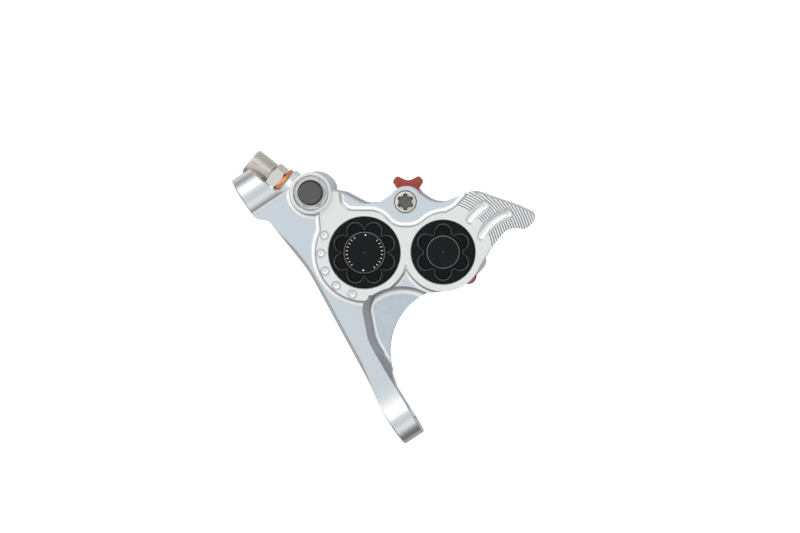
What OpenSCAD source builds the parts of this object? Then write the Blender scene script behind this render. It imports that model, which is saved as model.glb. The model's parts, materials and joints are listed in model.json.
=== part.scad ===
// Four-piston hydraulic disc brake caliper with an integral arm for a two-bolt flat mount.
// X runs along the mount, Z stands off the mount face, Y is the rotor's axis.
// The origin is midway between the two mounting bolts, on the mount face.

/* [Mount] */
// Distance between the two mounting bolts
bolt_spacing = 70; // [66:0.5:74]
// Diameter of the mounting bolt holes
bolt_hole_d = 5.3; // [4.5:0.1:6.5]
// Diameter of the round mounting feet
foot_d = 12; // [11:0.5:14]
// Height of the foot at the end of the long leg
foot_h = 6; // [5:0.25:7]
// Height of the foot under the hose connector, at its bolt
hose_foot_h = 7.4; // [6.5:0.1:9]

/* [Bores] */
// Large bore centre, along the mount
large_x = -6.3; // [-8:0.1:-4]
// Large bore centre, above the mount face
large_z = 19.1; // [18:0.1:21]
// Distance between the large and the small bore
bore_spacing = 20.3; // [20:0.1:22]
// Angle of the line through the bores against the mount face
bore_angle = 57; // [55:0.5:59]
// Diameter of the large pistons
large_piston_d = 16; // [15:0.25:16.5]
// Diameter of the small pistons
small_piston_d = 14; // [13:0.25:14.5]
// Length of a piston
piston_len = 10; // [9:0.25:10.5]
// Diameter of the large bore cap
large_cap_d = 18.2; // [17.8:0.1:18.6]
// Diameter of the small bore cap
small_cap_d = 16.2; // [15.8:0.1:16.6]
// Thickness of the bore caps
cap_t = 4.8; // [4.4:0.1:5.2]
// Radius of the raised rim round the large bore
large_rim_r = 12.4; // [11.8:0.1:13]
// Radius of the raised rim round the small bore
small_rim_r = 10.1; // [9.8:0.1:10.6]

/* [Depths] */
// Distance of the rotor's middle plane behind the bolt line
rotor_y = 12; // [11.5:0.1:13]
// Width of the slot for rotor and pads
slot_w = 12; // [11.6:0.1:12.6]
// Front of the raised rims, ahead of the bolt line
rim_front = 9.5; // [9:0.1:10.5]
// Front of the shelf with the pin ear, ahead of the bolt line
shelf_front = 6.8; // [6:0.1:7.4]
// Front of the arm, ahead of the bolt line
arm_front = 4.2; // [3.8:0.1:5]
// Thickness of the web between arm and bores
web_t = 5; // [4:0.25:6]
// Outside of the inner half, behind the rotor plane
inner_depth = 19; // [18.6:0.1:20]

/* [Rotor and pads] */
// Diameter of the rotor
rotor_d = 160; // [158:1:162]
// Thickness of the transport spacer in place of the rotor
spacer_t = 2; // [1.8:0.1:2.2]
// Half width of the transport spacer
spacer_half_w = 18.2; // [17.8:0.1:18.4]
// Reach of the transport spacer below the bore line
spacer_drop = 8.9; // [8.5:0.1:9.5]
// Length of the spacer's grip above the pad pin
grip_h = 6.2; // [5.5:0.1:8]
// Gap between a pad and the spacer at rest
pad_gap = 0.4; // [0.4:0.05:0.6]
// Thickness of a pad's backing plate
plate_t = 1.8; // [1.6:0.1:2]
// Thickness of a pad's lining
lining_t = 2.2; // [2:0.1:2.3]
// Half width of a pad
pad_half_w = 18; // [17:0.1:18.2]
// Reach of a pad below the bore line
pad_drop = 8.6; // [8:0.1:9]

/* [Pad pin] */
// Place of the pad pin along the bore line, from midway between the bores
pin_along = 0.4; // [-0.5:0.1:1]
// Height of the pad pin above the bore line
pin_up = 13; // [12.8:0.1:14]
// Diameter of the pad pin
pin_d = 4; // [3.5:0.1:4.4]
// Diameter of the pad pin's head
pin_head_d = 5.6; // [5.2:0.1:5.8]
// Radius of the ear round the pad pin
ear_r = 4; // [3.8:0.1:4.5]

/* [Hose and bleed] */
// Bleed boss centre, along the mount
bleed_x = -26.7; // [-27.5:0.1:-26]
// Bleed boss centre, above the mount face
bleed_z = 16.1; // [15.5:0.1:17]
// Diameter of the bleed boss
bleed_boss_d = 10.9; // [10.5:0.1:11.5]
// Front of the bleed boss, ahead of the bolt line
bleed_front = 11; // [10:0.1:12]
// Diameter of the rubber bleed cap
bleed_cap_d = 6.4; // [6:0.1:6.8]
// Length that the bleed cap stands out of the boss
bleed_cap_out = 3.4; // [2.5:0.1:4.5]
// Depth of the hose connector's axis behind the bolt line
hose_y = 10.8; // [10.5:0.1:11.5]
// Angle of the hose connector against the mount face
hose_angle = 18; // [16:0.5:22]
// Thread diameter of the hose connector
hose_thread_d = 8; // [7:0.25:8.5]
// Length of the connector's free thread
hose_thread_len = 6.4; // [5:0.1:8]
// Width across flats of the connector's hexagon
hose_hex = 8; // [8:0.25:9]

/* [Tail] */
// Reach of the ribbed tail beyond the small bore
tail_reach = 23.6; // [22:0.2:25]
// Spacing of the machined ribs on the tail
rib_pitch = 0.65; // [0.6:0.05:0.9]
// Drop of the tail's front face from root to tip
tail_drop = 4.4; // [3.5:0.1:5]

/* [Hidden] */
$fn = 64;

// Fits and small gaps
running = 0.05;
seat = 0.02;
overlap = 0.05;
eps = 0.5;

// Depths along Y, from the bolt line
slot_y0 = rotor_y - slot_w / 2;
slot_y1 = rotor_y + slot_w / 2;
back_y = rotor_y + inner_depth;
shelf_back = back_y - 4;
web_back = slot_y0 - eps;
web_front = web_back - web_t;
cap_seat_y = -rim_front + 0.1 + cap_t;
plate_y = rotor_y - spacer_t / 2 - pad_gap - lining_t - plate_t;
lining_y = plate_y + plate_t;
piston_y1 = plate_y - running;
piston_y0 = piston_y1 - piston_len;
bore_end_y = 2 * rotor_y - piston_y0 + 0.7;

// Bore radii, seal grooves and cap seats
large_r = large_piston_d / 2;
small_r = small_piston_d / 2;
seal_w = 2;
seal_h = 1.1;
dust_w = 1;
seal_y = slot_y0 - 4.6;
dust_y = slot_y0 - 1.6;
oring_d = 0.96;
oring_y = cap_seat_y - 1.1;
lobes_large = 8;
lobes_small = 6;

// Places in the bore frame: along the bore line, and out from the rotor
large_at = [-bore_spacing / 2, 0];
small_at = [bore_spacing / 2, 0];
pin_at = [pin_along, pin_up];
rotor_top = 9.8;
rotor_at = [0, rotor_top - rotor_d / 2];
slot_clear = 1.5;
window_half = spacer_half_w + 0.4;
inner_shoulder = 3;
rim_step = 1.3;
dip = pin_up - 6.6;
shelf_pocket = [[-17.3, 22, 0], [-16.4, 12.6, 1.5], [-14.4, 10.7, 2.5], [pin_along - 6.6, 10.6, 3],
    [pin_along - 3, dip, 3.6], [pin_along + 3, dip, 3.6], [pin_along + 6.8, 9.6, 3],
    [small_at[0] + 2.4, 10.4, 4], [small_at[0] + 6.1, 14.4, 1], [small_at[0] + 6.8, 22, 0]];
middle = [large_x, large_z] + bore_spacing / 2 * [cos(bore_angle), sin(bore_angle)];

// Hose connector, along its own axis from the washer's inner face
washer_t = 1.2;
washer_r = 5;
hose_hex_len = 3.2;
hose_hex_turn = 12;
port_r = 3;
port_len = 7;
port_boss_r = 5.6;
seat_clear = 1;
hose_seat = [-32.75, hose_y, 9.52];
scoop_r = 13.5;
scoop_at = [-0.8, -8.8 - scoop_r];
flare = [2.2, 2.9];

// Bleed screw, along Y
bleed_seat_y = -bleed_front + 1.6;
bleed_thread_r = 3;
bleed_hex = 7;
bleed_hex_len = 2.2;
bleed_nipple_r = 2.2;
counterbore_r = 4.35;
bleed_tip_y = -bleed_front - bleed_cap_out;
bleed_cap_roof = 1.2;

// Pad pin, along Y
pin_r = pin_d / 2;
pin_head_y = -shelf_front + 0.4;
pin_head_len = 2.6;
pin_past = 3.4;
pin_end_y = shelf_back + pin_past;
clip_y = shelf_back + 0.6;
clip_wire_r = 0.55;

// Crossover drilling that joins the halves, and its plug
plug_at = [-21.2, 13.4];
plug_r = 1.9;
plug_len = 2.6;
cross_r = 1.2;

// Pad spring
leaf_t = 0.4;
leaf_gap = 0.45;
spring_half_w = 1.9;
leaf_y = lining_y + leaf_gap;

// A point on the XZ plane from a point in the bore frame
function world(at) = middle + [at[0] * cos(bore_angle) - at[1] * sin(bore_angle),
    at[0] * sin(bore_angle) + at[1] * cos(bore_angle)];

// Corners [x, y, radius] as an outline with each corner rounded to its radius
function unit(v) = v / norm(v);
function round_corner(a, b, c, r, steps = 7) =
    let (
        u = unit([a[0] - b[0], a[1] - b[1]]),
        w = unit([c[0] - b[0], c[1] - b[1]]),
        half = acos(max(-1, min(1, u * w))) / 2,
        inset = r / tan(half),
        centre = [b[0], b[1]] + unit(u + w) * r / sin(half),
        from = [b[0], b[1]] + u * inset - centre,
        to = [b[0], b[1]] + w * inset - centre,
        sweep = 180 - 2 * half,
        side = from[0] * to[1] - from[1] * to[0] > 0 ? 1 : -1
    )
    [for (i = [0 : steps])
        let (turn = side * sweep * i / steps)
        centre + [from[0] * cos(turn) - from[1] * sin(turn), from[0] * sin(turn) + from[1] * cos(turn)]];
function rounded(corners) = [
    for (i = [0 : len(corners) - 1])
        let (
            b = corners[i],
            a = corners[(i + len(corners) - 1) % len(corners)],
            c = corners[(i + 1) % len(corners)]
        )
        each b[2] == 0 ? [[b[0], b[1]]] : round_corner(a, b, c, b[2])];

// An XZ sketch given its depth from y0 to y1
module slab(y0, y1) {
    translate([0, y1, 0]) rotate([90, 0, 0]) linear_extrude(y1 - y0) children();
}

// Sketches drawn in the bore frame, placed on the XZ plane
module at_bores() {
    translate(middle) rotate(bore_angle) children();
}

// A solid drawn along +Z, turned to run along +Y from a bore-frame point
module along_y(at, y) {
    point = world(at);
    translate([point[0], y, point[1]]) rotate([-90, 0, 0]) children();
}

// A cylinder along Y at a bore-frame point
module rod_y(at, y0, y1, r) {
    along_y(at, y0) cylinder(h = y1 - y0, r = r);
}

// A drilling between two points
module drill(a, b, r) {
    d = b - a;
    translate(a) rotate([0, acos(d[2] / norm(d)), atan2(d[1], d[0])]) cylinder(h = norm(d), r = r, $fn = 24);
}

// A ring along Y at a bore-frame point
module ring_y(at, y0, y1, inner, outer) {
    along_y(at, y0) difference() {
        cylinder(h = y1 - y0, r = outer);
        translate([0, 0, -eps]) cylinder(h = y1 - y0 + 2 * eps, r = inner);
    }
}

// Rims round the two bores and the straight band that joins them
module rim_sketch(grow = 0) {
    large = large_rim_r + grow;
    small = small_rim_r + grow;
    tilt = asin((large - small) / bore_spacing);
    up = [sin(tilt), cos(tilt)];
    down = [sin(tilt), -cos(tilt)];
    inset = 2 * overlap;
    translate(large_at) circle(large);
    translate(small_at) circle(small);
    polygon([large_at + (large - inset) * down, small_at + (small - inset) * down,
        small_at + (small - inset) * up, large_at + (large - inset) * up]);
}

// Raised face round both bores: a wider band beside the arm, the neck, the tail and the hose-side shoulder
module rim_face_sketch() {
    band_end = large_at[0] + 0.9;
    neck = [[-5, -2.6], [6, 12]];
    shoulder = [[-23, 4], [-15, 18]];
    difference() {
        union() {
            translate(large_at) circle(large_rim_r - rim_step);
            intersection() {
                translate(large_at) circle(large_rim_r);
                translate([band_end - 2 * large_rim_r, -large_rim_r]) square(2 * large_rim_r);
            }
            translate(small_at) circle(small_rim_r);
            translate(neck[0]) square(neck[1] - neck[0]);
            intersection() {
                crown_sketch();
                union() {
                    polygon(tail_zone);
                    translate(shoulder[0]) square(shoulder[1] - shoulder[0]);
                }
            }
        }
        polygon(rounded(shelf_pocket));
    }
}

// Upper outline of both halves: shoulder, ear, crest and tail
module crown_sketch(shoulder = 0) {
    tail_tip = small_at[0] + tail_reach;
    polygon(rounded([
        [large_at[0] - 11 - shoulder, 4, 0], [-22 - shoulder, 17.2, 2], [-16.2, 15.4, 3],
        [-10.6, 12.4, 4], [-6.2, 12.9, 3], [pin_at[0] - flare[0], pin_up + flare[1], 0],
        [pin_at[0] + flare[0], pin_up + flare[1], 0], [6.6, 13.1, 3], [9.4, 12.6, 4],
        [17.6, 15.7, 5], [tail_tip - 4.6, 11.6, 6], [tail_tip + 1.2, 8.9, 1.8], [tail_tip - 2.2, 5.7, 2.2],
        [tail_tip - 6.8, 6.2, 4], [small_at[0] + 12, 0.6, 4], [small_at[0] + 9.6, -3.4, 0],
        [small_at[0], -3, 0]]));
    translate(pin_at) circle(ear_r);
}

// Arm between the feet, with its arched underside
module arm_sketch() {
    reach = bolt_spacing / 2;
    polygon(rounded([
        [-reach, 0.2, 0], [-reach + 5.9, 0.2, 1], [-reach + 8.2, 2.6, 2], [-10.5, 4.1, 40],
        [reach - 12, 1.2, 8], [reach - 6.5, 0.2, 1], [reach, 0.2, 0], [reach, foot_h, 0],
        [reach - 11, foot_h + 0.3, 16], [13.5, foot_h + 0.9, 14], [4.6, 10.6, 6], [2.4, 15.5, 0],
        [large_x, large_z + 6, 0], [bleed_x + 2, bleed_z + 3, 0], [bleed_x - 3.2, bleed_z - 2.6, 3],
        [-reach + 3.2, hose_foot_h + 1, 1], [-reach, hose_foot_h, 0]]));
}

// Web between arm and bores, cut back by the round notch beside the long leg
module web_sketch() {
    notch_at = [28.2, 24];
    notch_r = 17;
    difference() {
        polygon([[large_x, 6], [bolt_spacing / 2 - 5, foot_h - 0.4], [bolt_spacing / 2 - 11.5, foot_h + 1.3],
            [22, 27], world([small_at[0], -small_rim_r + 1]), world([large_at[0], 0])]);
        translate(notch_at) circle(notch_r, $fn = 128);
        at_bores() translate([small_at[0] - 3, -small_rim_r - 20]) square([40, 20]);
    }
}

// Opening for rotor, pads and spacer, seen along Y
module slot_sketch() {
    translate(rotor_at) circle(rotor_d / 2 + slot_clear, $fn = 256);
    translate([-window_half, rotor_at[1] / 2]) square([2 * window_half, rotor_d / 2]);
}

// Part of the crown that stands at rim height, from the small rim to the tail's tip
tail_zone = [small_at + [1, 0], small_at + [1, small_rim_r], small_at + [6, 18],
    small_at + [tail_reach + 6, 18],
    small_at + [tail_reach + 6, -6], small_at + [6, -6]];

// Stepped cutter that leaves round ribs about the small bore on the sloping tail
module rib_cutter() {
    start = small_rim_r + 2.2;
    count = floor((tail_reach + 5 - start) / rib_pitch);
    depth = 0.28;
    far = start + count * rib_pitch;
    slope = tail_drop / (far - start);
    steps = [for (i = [0 : count - 1])
        let (r = start + i * rib_pitch)
        each [[r, i * rib_pitch * slope], [r + rib_pitch * 0.55, (i + 0.55) * rib_pitch * slope + depth]]];
    along_y(small_at, -rim_front)
        rotate_extrude($fn = 128)
            polygon(concat([[start, -2]], steps, [[far, count * rib_pitch * slope], [far, -2]]));
}

// Milled groove with full round ends between two bore-frame points, at depth y
module milled_groove(a, b, y, r) {
    from = world(a);
    to = world(b);
    ball = r + 0.06;
    drill([from[0], y, from[1]], [to[0], y, to[1]], r);
    for (end = [from, to])
        translate([end[0], y, end[1]]) sphere(ball, $fn = 32);
}

// Stepped bore from the slot outwards with its two seal grooves
module bore_cut(at, r, y_mouth, y_end, side) {
    grooves = [[seal_y, seal_w], [dust_y, dust_w]];
    rod_y(at, min(y_mouth, y_end), max(y_mouth, y_end), r + running);
    for (groove = grooves) {
        y0 = side > 0 ? groove[0] : 2 * rotor_y - groove[0] - groove[1];
        rod_y(at, y0, y0 + groove[1], r + running + seal_h);
    }
}

// Foot under one mounting bolt, before drilling
module foot(x, height) {
    translate([x, 0, 0]) cylinder(h = height, d = foot_d);
}

module port_axis() {
    translate(hose_seat) rotate([0, 90 - hose_angle, 0]) children();
}

// Outer half: shelf, rims, tail, bleed boss, arm, web and feet
module outer_half() {
    bleed_r = bleed_boss_d / 2;
    difference() {
        union() {
            slab(-shelf_front, slot_y0 + overlap) at_bores() {
                rim_sketch();
                crown_sketch();
            }
            slab(-rim_front, -shelf_front + overlap) at_bores() rim_face_sketch();
        }
        // Arched scoop between the bores, down to the web
        slab(-rim_front - 1, web_front + overlap) at_bores() translate(scoop_at) circle(scoop_r, $fn = 128);
    }
    slab(-arm_front, web_back) arm_sketch();
    slab(web_front, web_back) web_sketch();
    translate([bleed_x, -bleed_front, bleed_z]) rotate([-90, 0, 0]) {
        cylinder(h = bleed_front + slot_y0, r = bleed_r);
        translate([0, 0, bleed_front - arm_front - 1.6]) cylinder(h = 3, r1 = bleed_r, r2 = bleed_r + 1.6);
    }
    foot(bolt_spacing / 2, foot_h);
    foot(-bolt_spacing / 2, hose_foot_h + 1.3);
}

// Inner half behind the rotor, with its own rims for the blind bores
module inner_half() {
    slab(slot_y1 - overlap, shelf_back) at_bores() {
        rim_sketch();
        crown_sketch(inner_shoulder);
    }
    slab(shelf_back - overlap, back_y) at_bores() difference() {
        rim_sketch(-0.8);
        translate(pin_at) circle(ear_r + 1.1);
    }
    slab(slot_y1 - overlap, shelf_back - 3) at_bores()
        polygon(rounded([[small_at[0], -7, 0], [small_at[0] + 5.6, -9.2, 3], [small_at[0] + 10.8, -3.9, 3],
            [small_at[0] + 9, 2, 0]]));
}

// Ends of the body that join both halves across the slot
module bridges() {
    slab(slot_y0, slot_y1) at_bores() crown_sketch(inner_shoulder);
}

// Turned boss that the hose connector seats on
module port_boss() {
    port_axis() cylinder(h = port_len + 3, r = port_boss_r);
    translate([bleed_x, slot_y0 - overlap, bleed_z]) rotate([-90, 0, 0])
        cylinder(h = slot_w - 1, r = bleed_boss_d / 2);
}

module caliper_body() {
    dimple_ring = 11.2;
    dimple_r = 1.25;
    dimple_pitch = 24.3;
    first_dimple = 213.3;
    dimple_count = 5;
    large = [large_x, large_z];
    bleed_depth = 9;
    feed_r = 0.8;
    past = 0.3;
    cross = world(plug_at);
    large_end = large + (large_r - 1) * unit(cross - large);
    port_end = hose_seat + (port_len - 1) * [cos(hose_angle), 0, sin(hose_angle)];
    color("lightsteelblue") difference() {
        union() {
            outer_half();
            inner_half();
            bridges();
            port_boss();
        }
        // Opening for rotor and pads
        slab(slot_y0, slot_y1) at_bores() slot_sketch();
        // Outer bores with cap seats, inner blind bores
        for (bore = [[large_at, large_r, large_cap_d], [small_at, small_r, small_cap_d]]) {
            bore_cut(bore[0], bore[1], slot_y0 + eps, cap_seat_y - eps, 1);
            rod_y(bore[0], -rim_front - eps, cap_seat_y, bore[2] / 2 + running);
            bore_cut(bore[0], bore[1], slot_y1 - eps, bore_end_y, -1);
        }
        // Pad pin with its head seat
        rod_y(pin_at, -shelf_front - eps, back_y, pin_r + running);
        rod_y(pin_at, -shelf_front - eps, pin_head_y + pin_head_len, pin_head_d / 2 + running);
        // Mounting bolts
        for (side = [-1, 1])
            translate([side * bolt_spacing / 2, 0, -eps]) cylinder(h = 30, d = bolt_hole_d);
        // Slanted top of the foot under the hose connector
        translate([-bolt_spacing / 2, 0, hose_foot_h]) rotate([0, -hose_angle, 0])
            translate([-12, -foot_d, 0]) cube([14.6, 2 * foot_d - seat_clear, 12]);
        // Mount face
        translate([-bolt_spacing, -foot_d, -10]) cube([2 * bolt_spacing, 4 * foot_d, 10]);
        // Hose port and bleed port
        port_axis() {
            translate([0, 0, -port_len]) cylinder(h = port_len, r = washer_r + seat_clear);
            translate([0, 0, -eps]) cylinder(h = port_len + eps, r = port_r + running);
        }
        translate([bleed_x, -bleed_front, bleed_z]) rotate([-90, 0, 0]) {
            translate([0, 0, -eps]) cylinder(h = bleed_seat_y + bleed_front + eps, r = counterbore_r);
            cylinder(h = bleed_seat_y + bleed_front + bleed_depth, r = bleed_thread_r + running);
        }
        // Drilled passages
        rod_y(plug_at, piston_y0 - 1.5, shelf_back - plug_len + overlap, cross_r);
        rod_y(plug_at, shelf_back - plug_len, shelf_back + eps, plug_r + seat);
        drill(port_end, [cross[0] + past, hose_y, cross[1] + past], feed_r);
        for (y = [piston_y0 - 0.6, bore_end_y - 1.2])
            drill([cross[0], y, cross[1]], [large_end[0], y, large_end[1]], feed_r);
        // Row of dimples beside the large bore
        for (i = [0 : dimple_count - 1]) {
            turn = first_dimple + i * dimple_pitch;
            at = large + dimple_ring * [cos(turn), sin(turn)];
            translate([at[0], -rim_front, at[1]]) sphere(dimple_r, $fn = 24);
        }
        // Milled grooves on the tail
        milled_groove(small_at + [6.7, 7.8], small_at + [10.8, 12.1], -rim_front + 0.3, 1.25);
        milled_groove(small_at + [9.9, 3.8], small_at + [12, 7.1], -rim_front + 0.4, 1.05);
        milled_groove(small_at + [12, 7.1], small_at + [17, 9.7], -rim_front + 0.9, 1.15);
        // Ribs on the sloping tail
        intersection() {
            rib_cutter();
            slab(-rim_front - 3, 0) at_bores() polygon(tail_zone);
        }
    }
}

// Screwed cap with a lobed tool recess round a turned island
module bore_cap(at, d, island_d, lobes) {
    lobe_r = 2.1;
    recess_r = d / 2 - 3.1;
    recess = 1.8;
    y = -rim_front + 0.1;
    color("black") difference() {
        rod_y(at, y, y + cap_t, d / 2);
        rod_y(at, y - eps, y + recess, recess_r);
        for (i = [0 : lobes - 1])
            rod_y(at + recess_r * [cos(i * 360 / lobes), sin(i * 360 / lobes)], y - eps, y + recess, lobe_r);
        ring_y(at, oring_y - oring_d / 2 - seat, oring_y + oring_d / 2 + seat, d / 2 - oring_d, d);
    }
    color("black") rod_y(at, y + 0.3, y + recess + overlap, island_d / 2);
}

module bore_cap_large() {
    bore_cap(large_at, large_cap_d, 10.8, lobes_large);
}

module bore_cap_small() {
    bore_cap(small_at, small_cap_d, 8.6, lobes_small);
}

// Round-section ring in the groove of a bore cap
module cap_oring(at, d) {
    color("dimgray") along_y(at, oring_y) rotate_extrude()
        translate([d / 2 + running / 2 - oring_d / 2, 0]) circle(oring_d / 2 - seat, $fn = 24);
}

module cap_oring_large() {
    cap_oring(large_at, large_cap_d);
}

module cap_oring_small() {
    cap_oring(small_at, small_cap_d);
}

// Cup piston, open towards the rotor, turned about the rotor plane for the inner side
module piston(at, r, inner) {
    wall = 1.6;
    floor_t = 3;
    y0 = inner ? 2 * rotor_y - piston_y1 : piston_y0;
    cup_y = inner ? y0 - eps : y0 + floor_t;
    color("whitesmoke") difference() {
        rod_y(at, y0, y0 + piston_len, r);
        rod_y(at, cup_y, cup_y + piston_len - floor_t + eps, r - wall);
    }
}

module piston_large_outer() {
    piston(large_at, large_r, false);
}

module piston_small_outer() {
    piston(small_at, small_r, false);
}

module piston_large_inner() {
    piston(large_at, large_r, true);
}

module piston_small_inner() {
    piston(small_at, small_r, true);
}

// Square ring in a bore groove
module bore_seal(at, r, y, width, inner) {
    y0 = inner ? 2 * rotor_y - y - width : y;
    color("dimgray") ring_y(at, y0 + seat, y0 + width - seat, r + seat, r + running + seal_h - seat);
}

module piston_seal_large_outer() {
    bore_seal(large_at, large_r, seal_y, seal_w, false);
}

module piston_seal_small_outer() {
    bore_seal(small_at, small_r, seal_y, seal_w, false);
}

module piston_seal_large_inner() {
    bore_seal(large_at, large_r, seal_y, seal_w, true);
}

module piston_seal_small_inner() {
    bore_seal(small_at, small_r, seal_y, seal_w, true);
}

module dust_seal_large_outer() {
    bore_seal(large_at, large_r, dust_y, dust_w, false);
}

module dust_seal_small_outer() {
    bore_seal(small_at, small_r, dust_y, dust_w, false);
}

module dust_seal_large_inner() {
    bore_seal(large_at, large_r, dust_y, dust_w, true);
}

module dust_seal_small_inner() {
    bore_seal(small_at, small_r, dust_y, dust_w, true);
}

// Outline of a pad's backing plate with its ear for the pad pin
module plate_sketch() {
    shoulder = 8.6;
    difference() {
        union() {
            polygon(rounded([[-pad_half_w, -pad_drop, 2.5], [pad_half_w, -pad_drop, 2.5],
                [pad_half_w, shoulder, 2.5], [pin_at[0] + 6, shoulder + 0.6, 3], [pin_at[0] + 3, pin_up, 0],
                [pin_at[0] - 3, pin_up, 0], [pin_at[0] - 6, shoulder + 0.6, 3],
                [-pad_half_w, shoulder, 2.5]]));
            translate(pin_at) circle(pin_r + 1.6);
        }
        translate(pin_at) circle(pin_r + running);
    }
}

module pad_plate(y) {
    color("slategray") slab(y, y + plate_t) at_bores() plate_sketch();
}

module pad_plate_outer() {
    pad_plate(plate_y);
}

module pad_plate_inner() {
    pad_plate(2 * rotor_y - plate_y - plate_t);
}

// Friction lining with a dust groove across its middle
module lining_sketch() {
    edge = 0.8;
    groove = 1.2;
    top = 7.8;
    difference() {
        polygon(rounded([[-pad_half_w + edge, -pad_drop + edge, 2], [pad_half_w - edge, -pad_drop + edge, 2],
            [pad_half_w - edge, top, 2], [-pad_half_w + edge, top, 2]]));
        translate([-groove / 2, -pad_drop]) square([groove, 2 * pad_drop]);
    }
}

module pad_lining(y) {
    color("saddlebrown") slab(y, y + lining_t) at_bores() lining_sketch();
}

module pad_lining_outer() {
    pad_lining(lining_y);
}

module pad_lining_inner() {
    pad_lining(2 * rotor_y - lining_y - lining_t);
}

// Folded leaf spring, hung on the pad pin between the backing plates
module pad_spring() {
    wing_half = 9;
    wing_low = 8.9;
    wing_high = 10.6;
    fold_top = pin_up - pin_r - 0.3;
    stem_half = pin_r + 0.6;
    far_y = 2 * rotor_y - leaf_y;
    color("silver") {
        for (y = [leaf_y, far_y - leaf_t])
            slab(y, y + leaf_t) at_bores() difference() {
                union() {
                    translate(pin_at) circle(pin_r + 1.2);
                    translate([pin_at[0] - wing_half, wing_low])
                        square([2 * wing_half, wing_high - wing_low]);
                    translate([pin_at[0] - stem_half, wing_low]) square([2 * stem_half, pin_up - wing_low]);
                }
                translate(pin_at) circle(pin_r + running);
            }
        slab(leaf_y, far_y) at_bores()
            translate([pin_at[0] - spring_half_w, fold_top - leaf_t]) square([2 * spring_half_w, leaf_t]);
    }
}

// Screwed pin that the pads hang on, with a hexagon socket and a clip groove
module pad_pin() {
    socket_r = 1.75;
    socket_depth = 2;
    groove = clip_wire_r + seat;
    color("gainsboro") difference() {
        union() {
            rod_y(pin_at, pin_head_y, pin_end_y, pin_r);
            rod_y(pin_at, pin_head_y, pin_head_y + pin_head_len - seat, pin_head_d / 2);
        }
        along_y(pin_at, pin_head_y - eps) cylinder(h = socket_depth + eps, r = socket_r, $fn = 6);
        ring_y(pin_at, clip_y - groove, clip_y + groove, pin_r - clip_wire_r, pin_r + eps);
    }
}

// Wire clip in the groove at the pin's inner end
module pin_clip() {
    reach = 4;
    rise = 0.5;
    loop_r = pin_r + clip_wire_r - 0.5;
    tip = world(pin_at + [reach, rise]);
    start = world(pin_at + loop_r * [cos(70), sin(70)]);
    color("gray") {
        along_y(pin_at, clip_y) rotate([0, 0, -bore_angle]) rotate_extrude(angle = 290, start = -70)
            translate([loop_r, 0]) circle(clip_wire_r, $fn = 24);
        drill([start[0], clip_y, start[1]], [tip[0], clip_y, tip[1]], clip_wire_r);
    }
}

// Moulded fork that fills the rotor's place, open below so that it lifts off over the pin
module spacer_sketch() {
    fork_half = 2.5;
    shoulder = 8.6;
    neck_half = 2.75;
    lobe_half = 3.8;
    top = pin_up + grip_h;
    difference() {
        polygon(rounded([[-spacer_half_w, -spacer_drop, 2], [spacer_half_w, -spacer_drop, 2],
            [spacer_half_w, shoulder, 3], [pin_at[0] + 6.5, shoulder + 1.2, 2], [pin_at[0] + 3.9, pin_up, 1],
            [pin_at[0] + neck_half, pin_up + 3, 0.8], [pin_at[0] + lobe_half + 0.3, top - 1, 0.8],
            [pin_at[0] + lobe_half - 0.9, top + 0.4, 0.7], [pin_at[0], top - 1, 2.4],
            [pin_at[0] - lobe_half + 0.9, top + 0.4, 0.7], [pin_at[0] - lobe_half - 0.3, top - 1, 0.8],
            [pin_at[0] - neck_half, pin_up + 3, 0.8], [pin_at[0] - 3.9, pin_up, 1],
            [pin_at[0] - 6.5, shoulder + 1.2, 2], [-spacer_half_w, shoulder, 3]]));
        translate([pin_at[0] - fork_half, -spacer_drop - eps])
            square([2 * fork_half, spacer_drop + pin_up + eps]);
        translate(pin_at) circle(fork_half);
    }
}

module transport_spacer() {
    color("firebrick") slab(rotor_y - spacer_t / 2, rotor_y + spacer_t / 2) at_bores() spacer_sketch();
}

// Male connector for the hose: port thread, hexagon and outer thread with a bore
module hose_connector() {
    bore_r = 1.6;
    color("tan") port_axis() difference() {
        union() {
            translate([0, 0, -washer_t]) cylinder(h = port_len - 1 + washer_t, r = port_r);
            translate([0, 0, -washer_t - hose_hex_len]) rotate(-hose_hex_turn)
                cylinder(h = hose_hex_len, d = hose_hex / cos(30), $fn = 6);
            translate([0, 0, -washer_t - hose_hex_len - hose_thread_len])
                cylinder(h = hose_thread_len + overlap, d = hose_thread_d);
        }
        translate([0, 0, -washer_t - hose_hex_len - hose_thread_len - eps])
            cylinder(h = hose_thread_len + hose_hex_len + washer_t + port_len + 2 * eps, r = bore_r);
    }
}

// Crush washer between connector and body
module copper_washer() {
    color("peru") port_axis() translate([0, 0, -washer_t]) difference() {
        cylinder(h = washer_t, r = washer_r);
        translate([0, 0, -eps]) cylinder(h = washer_t + 2 * eps, r = port_r + running);
    }
}

// Bleed screw: hexagon in the counterbore, nipple outside, cone seat inside
module bleed_screw() {
    thread_len = 6.5;
    cone_len = 2;
    drilling_r = 0.7;
    nipple_len = bleed_seat_y - bleed_tip_y;
    color("lightgray") translate([bleed_x, bleed_seat_y, bleed_z]) rotate([-90, 0, 0]) difference() {
        union() {
            cylinder(h = thread_len, r = bleed_thread_r);
            translate([0, 0, thread_len]) cylinder(h = cone_len, r1 = bleed_thread_r - 0.8, r2 = 0.8);
            translate([0, 0, -bleed_hex_len]) cylinder(h = bleed_hex_len, d = bleed_hex / cos(30), $fn = 6);
            translate([0, 0, bleed_cap_roof - nipple_len])
                cylinder(h = nipple_len - bleed_cap_roof, r = bleed_nipple_r);
        }
        translate([0, 0, -nipple_len]) cylinder(h = nipple_len + thread_len - 1, r = drilling_r);
    }
}

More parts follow.
